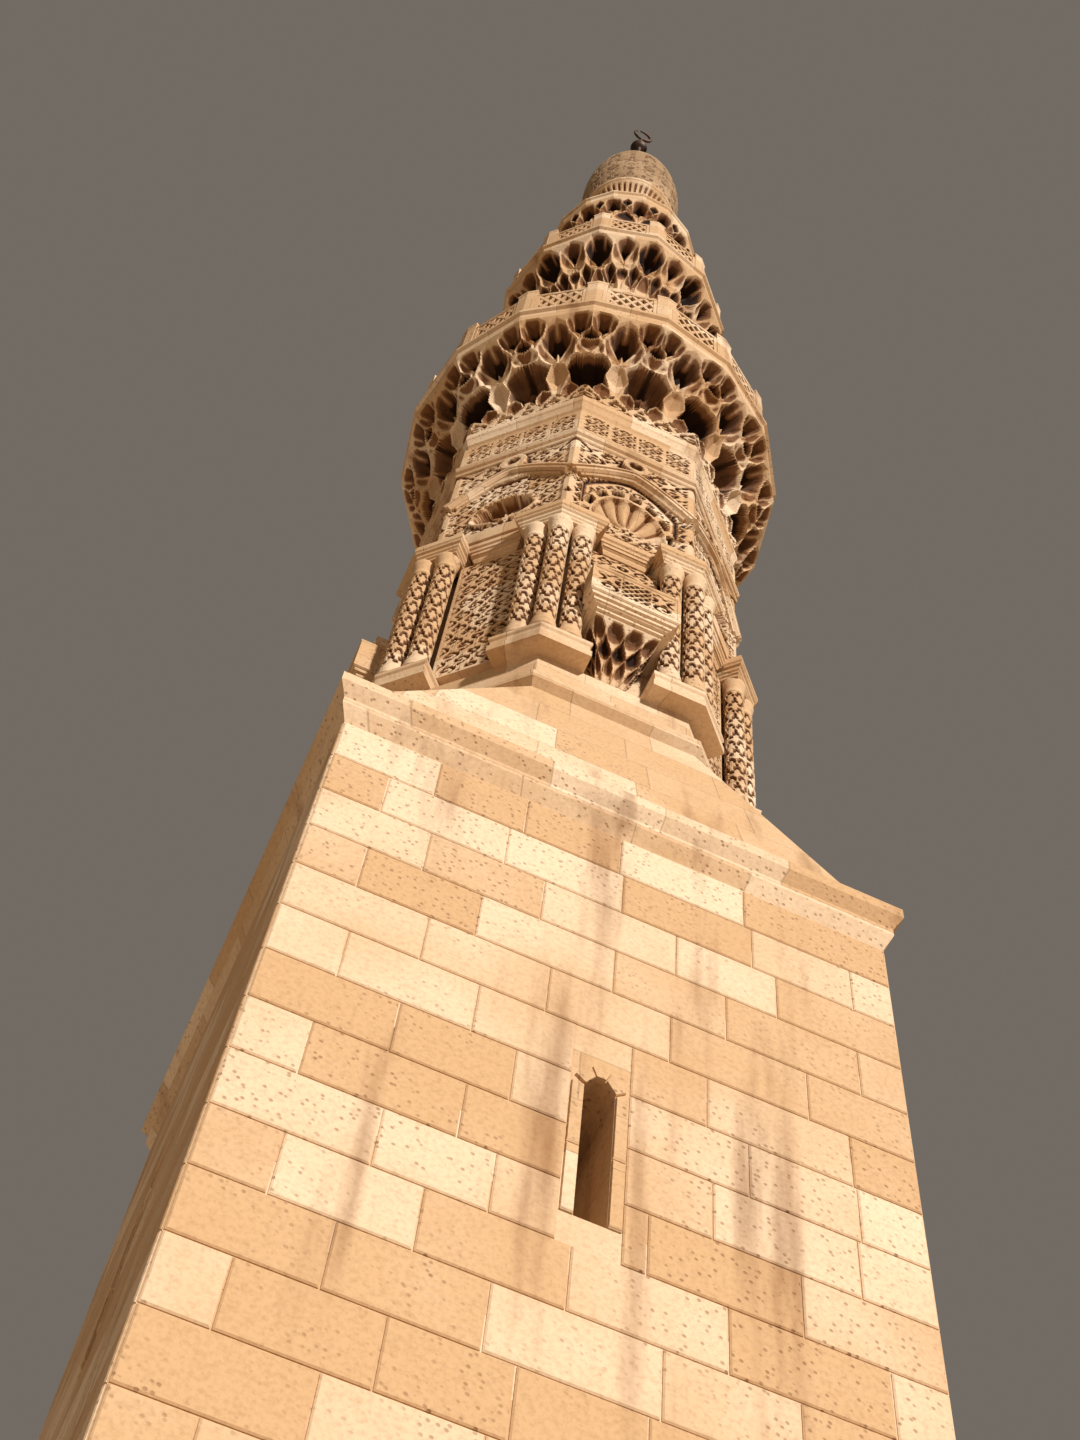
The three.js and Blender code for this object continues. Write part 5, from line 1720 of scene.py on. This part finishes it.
def neck_ring():
    """The neck: a fluted shaft under a concave moulding with dentils."""
    height = np.concatenate([
        np.linspace(NECK_BOTTOM, 30.1, 7), np.linspace(30.12, 31.45, 7), np.linspace(31.47, NECK_TOP, 32),
    ])
    azimuth = np.linspace(-90 - 22.5, -90 + 22.5, 43)
    profile = np.interp(height, *zip(*NECK_PROFILE))
    z, a = height[:, None], azimuth[None, :]
    flute = 0.012 * np.abs(np.sin(np.radians(a) * 24)) * smooth(30.12, 30.2, z) * smooth(31.45, 31.38, z)
    dentil = 0.024 * smooth(-0.3, 0.5, np.sin(np.radians(a) * 48))
    dentil = dentil * smooth(31.82, 31.86, z) * smooth(32.23, 32.20, z)
    radius = profile[:, None] - flute - dentil
    # Painted shade in the gaps between the dentils and in the flutes.
    dust_and_shade = np.clip(dentil / 0.024, 0, 1) * 0.35 + flute / 0.012 * 0.2
    return repeat(ring_sector("bulb_neck", azimuth, height, radius, 0.12, dust_and_shade), 8)


set_in_place(neck_ring(), limestone, "limestone", "neck")

# %% [markdown]
# ## Bulb
#
# The bulb swells a little above its foot and closes in a quarter of an ellipse. Shallow scrolls cover
# it. They are mirrored in each sector, so that the sectors meet without a seam.


# %% The bulb
def bulb_ring():
    """The bulb, as an eighth with a mirrored pattern, repeated."""
    low, widest, top = 32.4003, 33.5, 36.05
    foot_radius, full_radius, top_radius = 0.672, 0.762, 0.07
    lower = np.linspace(low, widest, 20)
    angle = np.linspace(0, math.pi / 2, 34)[1:]
    height = np.concatenate([lower, widest + (top - widest) * np.sin(angle)])
    rise = full_radius - (full_radius - foot_radius) * ((widest - lower) / (widest - low)) ** 2
    fall = np.maximum(full_radius * np.cos(angle), top_radius)
    profile = np.concatenate([rise, fall])
    azimuth = np.linspace(-112.5, -67.5, 33)
    a, z = np.radians(azimuth + 90)[None, :], height[:, None]
    net = scrolls(np.abs(a) * 0.75, z, 0.29, 0.4)
    fade = smooth(35.7, 35.2, z) * smooth(low + 0.02, low + 0.15, z)
    cut = 0.010 * (1 - net) * fade
    shape = profile[:, None] - cut
    # Painted shade in the carved ground of the scrolls.
    dust_and_shade = np.clip(cut / 0.010, 0, 1) * 0.34
    return repeat(ring_sector("stone_bulb", azimuth, height, shape, 0.02, dust_and_shade), 8, worn_limestone)


set_in_place(bulb_ring(), worn_limestone, "bulb_stone", "bulb")

# %% [markdown]
# ## Finial and crescent
#
# A metal pole with three balls ends in a ring on a stem, and both lean a little. The ring is open
# near its top, to one side. The balls are turned in one piece with the pole. The ring is a tube that
# thins towards its two ends, and the stem is turned.


# %% Turned finial
def finial_profile():
    """Outline of the pole and its three balls, from bottom to top."""
    profile = [(0.07, 36.0503), (0.075, 36.08), (0.05, 36.13), (0.045, 36.2)]

    def ball(height, radius):
        profile.append((0.05, height - radius * 0.99))
        for angle in np.linspace(-1.2, 1.2, 13):
            profile.append((radius * math.cos(angle), height + radius * math.sin(angle)))
        profile.append((0.04, height + radius * 1.0))

    ball(36.62, 0.12)
    profile.append((0.036, 36.9))
    ball(37.50, 0.135)
    profile.append((0.036, 37.9))
    ball(38.51, 0.150)
    profile.append((0.034, 38.675))
    return profile


set_in_place(lathe("bronze_finial", finial_profile(), 40), dark_bronze, "bronze", "finial")

# %% [markdown]
# ## Open ring
#
# The ring on top is a crescent whose horns almost meet. A torus would be the same thickness all
# round, so the tube is worked out step by step along the ring, thinner towards its two ends. The gap
# lies to the left of the top, and the ring leans back a little with its stem.


# %% Ring and stem
def open_ring():
    """The ring and its stem, leaning on the topmost ball."""
    radius, foot, ball_top = 0.160, 0.368, 38.6803
    lean, turn, roll = math.radians(12), math.radians(5), math.radians(38)
    steps, sides = 48, 14
    sweep = np.radians(np.linspace(-166, 166, steps))
    width = 0.013 + 0.016 * np.cos(sweep / 2)
    angle = sweep + roll
    around = np.linspace(0, 2 * math.pi, sides, endpoint=False)
    ring = radius + width[:, None] * np.cos(around)[None, :]
    x = ring * np.sin(angle)[:, None]
    z = foot + radius - ring * np.cos(angle)[:, None]
    y = width[:, None] * np.sin(around)[None, :]
    points = np.stack([x, y, z], -1).reshape(-1, 3)
    piece = new_piece("crescent_ring", points, capped_loops(steps, sides), smooth_faces=True)
    stem = lathe("stem", [(0.032, -0.004), (0.026, 0.06), (0.022, foot)], 16)
    one = joined("crescent_ring", [piece, stem])
    leaning = Matrix.Rotation(turn, 4, "Z") @ Matrix.Rotation(lean, 4, "X")
    one.data.transform(Matrix.Translation((0, 0, ball_top)) @ leaning)
    return faced_outwards(one)


set_in_place(open_ring(), dark_bronze, "bronze", "crescent")

# %% [markdown]
# ## Ashlar of the base
#
# The square base is plain masonry: level courses of dressed blocks with fine joints. The blocks are
# real geometry, thin facings with bevelled edges laid on the solid walls in staggered rows. Each row
# is cut at its openings, so no block crosses a slit or the doorway.


# %% Blocks laid in courses
def laid_blocks(left, right, bottom, top, course, length, openings, rng):
    """Rectangles (x0, x1, z0, z1) in staggered rows, clear of the openings."""
    rows = max(1, round((top - bottom) / course))
    height = (top - bottom) / rows
    found = []
    for row in range(rows):
        z0, z1 = bottom + row * height, bottom + (row + 1) * height
        cuts = [left]
        at = left + length * (0.5 if row % 2 else 1.0) * rng.uniform(0.85, 1.1)
        while at < right - 0.2:
            cuts.append(at)
            at += length * rng.uniform(0.8, 1.2)
        cuts.append(right)
        for x0, x1 in zip(cuts, cuts[1:]):
            pieces = [(x0, x1)]
            for o0, o1, oz0, oz1 in openings:
                if z1 <= oz0 + 0.01 or z0 >= oz1 - 0.01:
                    continue
                parts = [part for a, b in pieces for part in ((a, min(b, o0)), (max(a, o1), b))]
                pieces = [(a, b) for a, b in parts if b - a > 0.04]
            found += [(a, b, z0, z1) for a, b in pieces]
    return found


def block_faces(base):
    """Sides, front and back of a block whose twelve corners form three rings of four."""
    faces = []
    for ring in (0, 4):
        for k in range(4):
            a, b = base + ring + k, base + ring + (k + 1) % 4
            faces.append([a, b, b + 4, a + 4])
    return faces + [[base + 8, base + 9, base + 10, base + 11], [base + 3, base + 2, base + 1, base]]


def facing_blocks(rectangles, distance, proud, rng):
    """Bevelled blocks with a fine joint round each, and one random tone for each block."""
    gap, bevel = 0.004, 0.008
    points, faces, tones = [], [], []
    for x0, x1, z0, z1 in rectangles:
        faces += block_faces(len(points))
        tones += [rng.uniform(0, 1)] * 12
        for inset, out in ((0, -0.02), (0, proud - bevel * 0.7), (bevel, proud)):
            left, right = x0 + gap + inset, x1 - gap - inset
            low, high = z0 + gap + inset, z1 - gap - inset
            corners = ((left, low), (right, low), (right, high), (left, high))
            points += [(x, -(distance + out), z) for x, z in corners]
    piece = new_piece("facing", points, faces, np.zeros(len(points)))
    tone = piece.data.attributes.new("block", "FLOAT", "POINT")
    tone.data.foreach_set("value", np.array(tones, np.float32))
    return piece


def base_facing():
    """Facing blocks on the four sides of the base."""
    rng = np.random.default_rng(7)
    slits = [(-0.14, 0.14, 4.05, 5.3), (-0.14, 0.14, 7.75, 9.0)]
    door = (-0.66, 0.66, 0.45, 2.85)
    parts = []
    for azimuth, openings in ((-90, slits), (0, slits), (180, slits), (90, slits + [door])):
        blocks = laid_blocks(-1.6, 1.6, 0.452, 10.99, 0.36, 0.62, openings, rng)
        part = facing_blocks(blocks, 1.6, 0.010, rng)
        part.data.transform(face_matrix(azimuth))
        parts.append(part)
    return joined("base_facing", parts)


set_in_place(base_facing(), ashlar, "limestone")

# %% [markdown]
# ## Frames of the slits and the doorway
#
# Each opening of the base has jambs of upright blocks and a low arch of wedge-shaped stones. They are
# blocks like the facings, but each has four free corners, so a function places them one by one.


# %% Jambs and arch stones
def arched_frame(name, half, sill, spring, crown, width, distance, proud, count):
    """Jambs and arch stones round an opening, each stone a separate block."""
    points, faces, gap = [], [], 0.003

    def stone(quad):
        faces.extend(block_faces(len(points)))
        centre = np.mean(quad, 0)
        for inset, out in ((0.0, -0.02), (0.0, proud - 0.006), (0.07, proud)):
            for corner in quad:
                x, z = np.array(corner) + (centre - corner) * inset
                points.append((x, -(distance + out), z))

    def edge(t, extra):
        """Point on the arch at share t from left to right, moved out by extra."""
        x = -half + 2 * half * t
        z = spring + (crown - spring) * (1 - abs(x / half) ** 1.8)
        direction = np.array([x / half * 0.9, 0.75])
        direction /= np.linalg.norm(direction)
        return np.array([x, z]) + direction * extra

    rows = max(2, round((spring - sill) / 0.36))
    for row in range(rows):
        z0, z1 = sill + (spring - sill) * row / rows, sill + (spring - sill) * (row + 1) / rows
        for side in (-1, 1):
            x0, x1 = sorted((side * half, side * (half + width)))
            left, right, low, high = x0 + gap, x1 - gap, z0 + gap, z1 - gap
            corners = ((left, low), (right, low), (right, high), (left, high))
            stone([np.array(corner) for corner in corners])
    for k in range(count):
        a, b = (k + 0.03) / count, (k + 0.97) / count
        stone([edge(a, 0.0), edge(b, 0.0), edge(b, width), edge(a, width)])
    return faced_outwards(new_piece(name, points, faces, np.zeros(len(points))))


def opening_frames():
    """Frames round the eight slits and the doorway at the back."""
    parts = []
    for azimuth in (-90, 0, 90, 180):
        for sill in (4.2, 7.9):
            part = arched_frame("slit_frame", 0.075, sill, sill + 0.86, sill + 0.95, 0.065, 1.6, 0.014, 3)
            part.data.transform(face_matrix(azimuth))
            parts.append(part)
    door = arched_frame("door_frame", 0.45, 0.452, 2.18, 2.60, 0.2, 1.6, 0.02, 11)
    door.data.transform(face_matrix(90))
    parts.append(door)
    return joined("opening_frames", parts)


set_in_place(opening_frames(), limestone, "limestone")

# %% [markdown]
# ## Solids that stay
#
# The plinth, the base walls, the floors and the cornices are right as solids. They keep their meshes
# and take the limestone finish.


# %% Finish the remaining solids
for name, solid in sorted(solids.items()):
    if not solid.hide_render:
        solid.data.materials.clear()
        solid.data.materials.append(limestone)
        print("kept:", name)

# %% [markdown]
# ## Floor, light and camera
#
# The object stands on a plain beige floor. In the photograph a low sun stands in front of the tower, a
# little to the right, so a warm key light comes from there, 27 degrees above level. A weak fill comes
# from the left and a broader light from behind, and a dim pale surround fills the shadows. Suns are
# used because their light is even over the whole height.


# %% Studio
def studio_floor():
    size = 60.0
    points = [(-size, -size, -0.002), (size, -size, -0.002), (size, size, -0.002), (-size, size, -0.002)]
    floor = new_piece("studio_floor", np.array(points), [[0, 1, 2, 3]])
    material = bpy.data.materials.new("pale_floor")
    material.use_nodes = True
    shader = material.node_tree.nodes["Principled BSDF"]
    shader.inputs["Base Color"].default_value = colour(0.60, 0.47, 0.33)
    shader.inputs["Roughness"].default_value = 0.9
    floor.data.materials.append(material)
    return floor


def sun(name, energy, direction, angle, tint):
    """A sun lamp that shines from a direction."""
    lamp = bpy.data.lights.new(name, "SUN")
    lamp.energy, lamp.angle, lamp.color = energy, math.radians(angle), tint
    light = bpy.data.objects.new(name, lamp)
    bpy.context.scene.collection.objects.link(light)
    axis = -np.array(direction, float)
    light.rotation_mode = "QUATERNION"
    light.rotation_quaternion = Vector(axis).to_track_quat("-Z", "Y")
    return light


studio_floor()
sun("key_light", 5.0, (0.23, -0.861, 0.454), 4, (1.0, 0.97, 0.92))
sun("fill_light", 0.10, (-1.0, -0.6, -0.15), 40, (1.0, 0.80, 0.60))
sun("back_light", 1.0, (0.15, 0.95, 0.22), 40, (1.0, 0.92, 0.82))
world = bpy.data.worlds.new("studio")
bpy.context.scene.world = world
world.use_nodes = True
surround = world.node_tree.nodes["Background"]
surround.inputs["Color"].default_value = colour(1.0, 0.87, 0.74)
surround.inputs["Strength"].default_value = 0.17
bpy.context.scene.view_settings.view_transform = "Standard"

# %% [markdown]
# ## Camera
#
# The camera looks up from eye height close to the foot. Its three directions were worked out from the
# lines that run together in the photograph, and are given as vectors: to the right, up and ahead.

# %% The photograph's view
camera_data = bpy.data.cameras.new("camera")
camera_data.lens = 50.13
camera_data.sensor_width = 36.0
camera_data.clip_start, camera_data.clip_end = 0.1, 300.0
camera = bpy.data.objects.new("camera", camera_data)
bpy.context.scene.collection.objects.link(camera)
right = np.array([0.91185, -0.40405, 0.07257])
up = np.array([-0.39234, -0.80572, 0.44372])
ahead = np.array([0.12082, 0.43308, 0.89322])
eye = np.array([-1.9425, -6.6209, 1.6])
turn = np.eye(4)
turn[:3] = np.column_stack([right, up, -ahead, eye])
camera.matrix_world = Matrix(turn.tolist())
bpy.context.scene.camera = camera
print("camera at", [round(v, 3) for v in camera.matrix_world.translation])

# %% [markdown]
# ## Triangles at the end
#
# Last, the triangles of all the new pieces are added up and printed.

# %% Count the triangles
print("triangles in new pieces:", sum(total_triangles.values()))
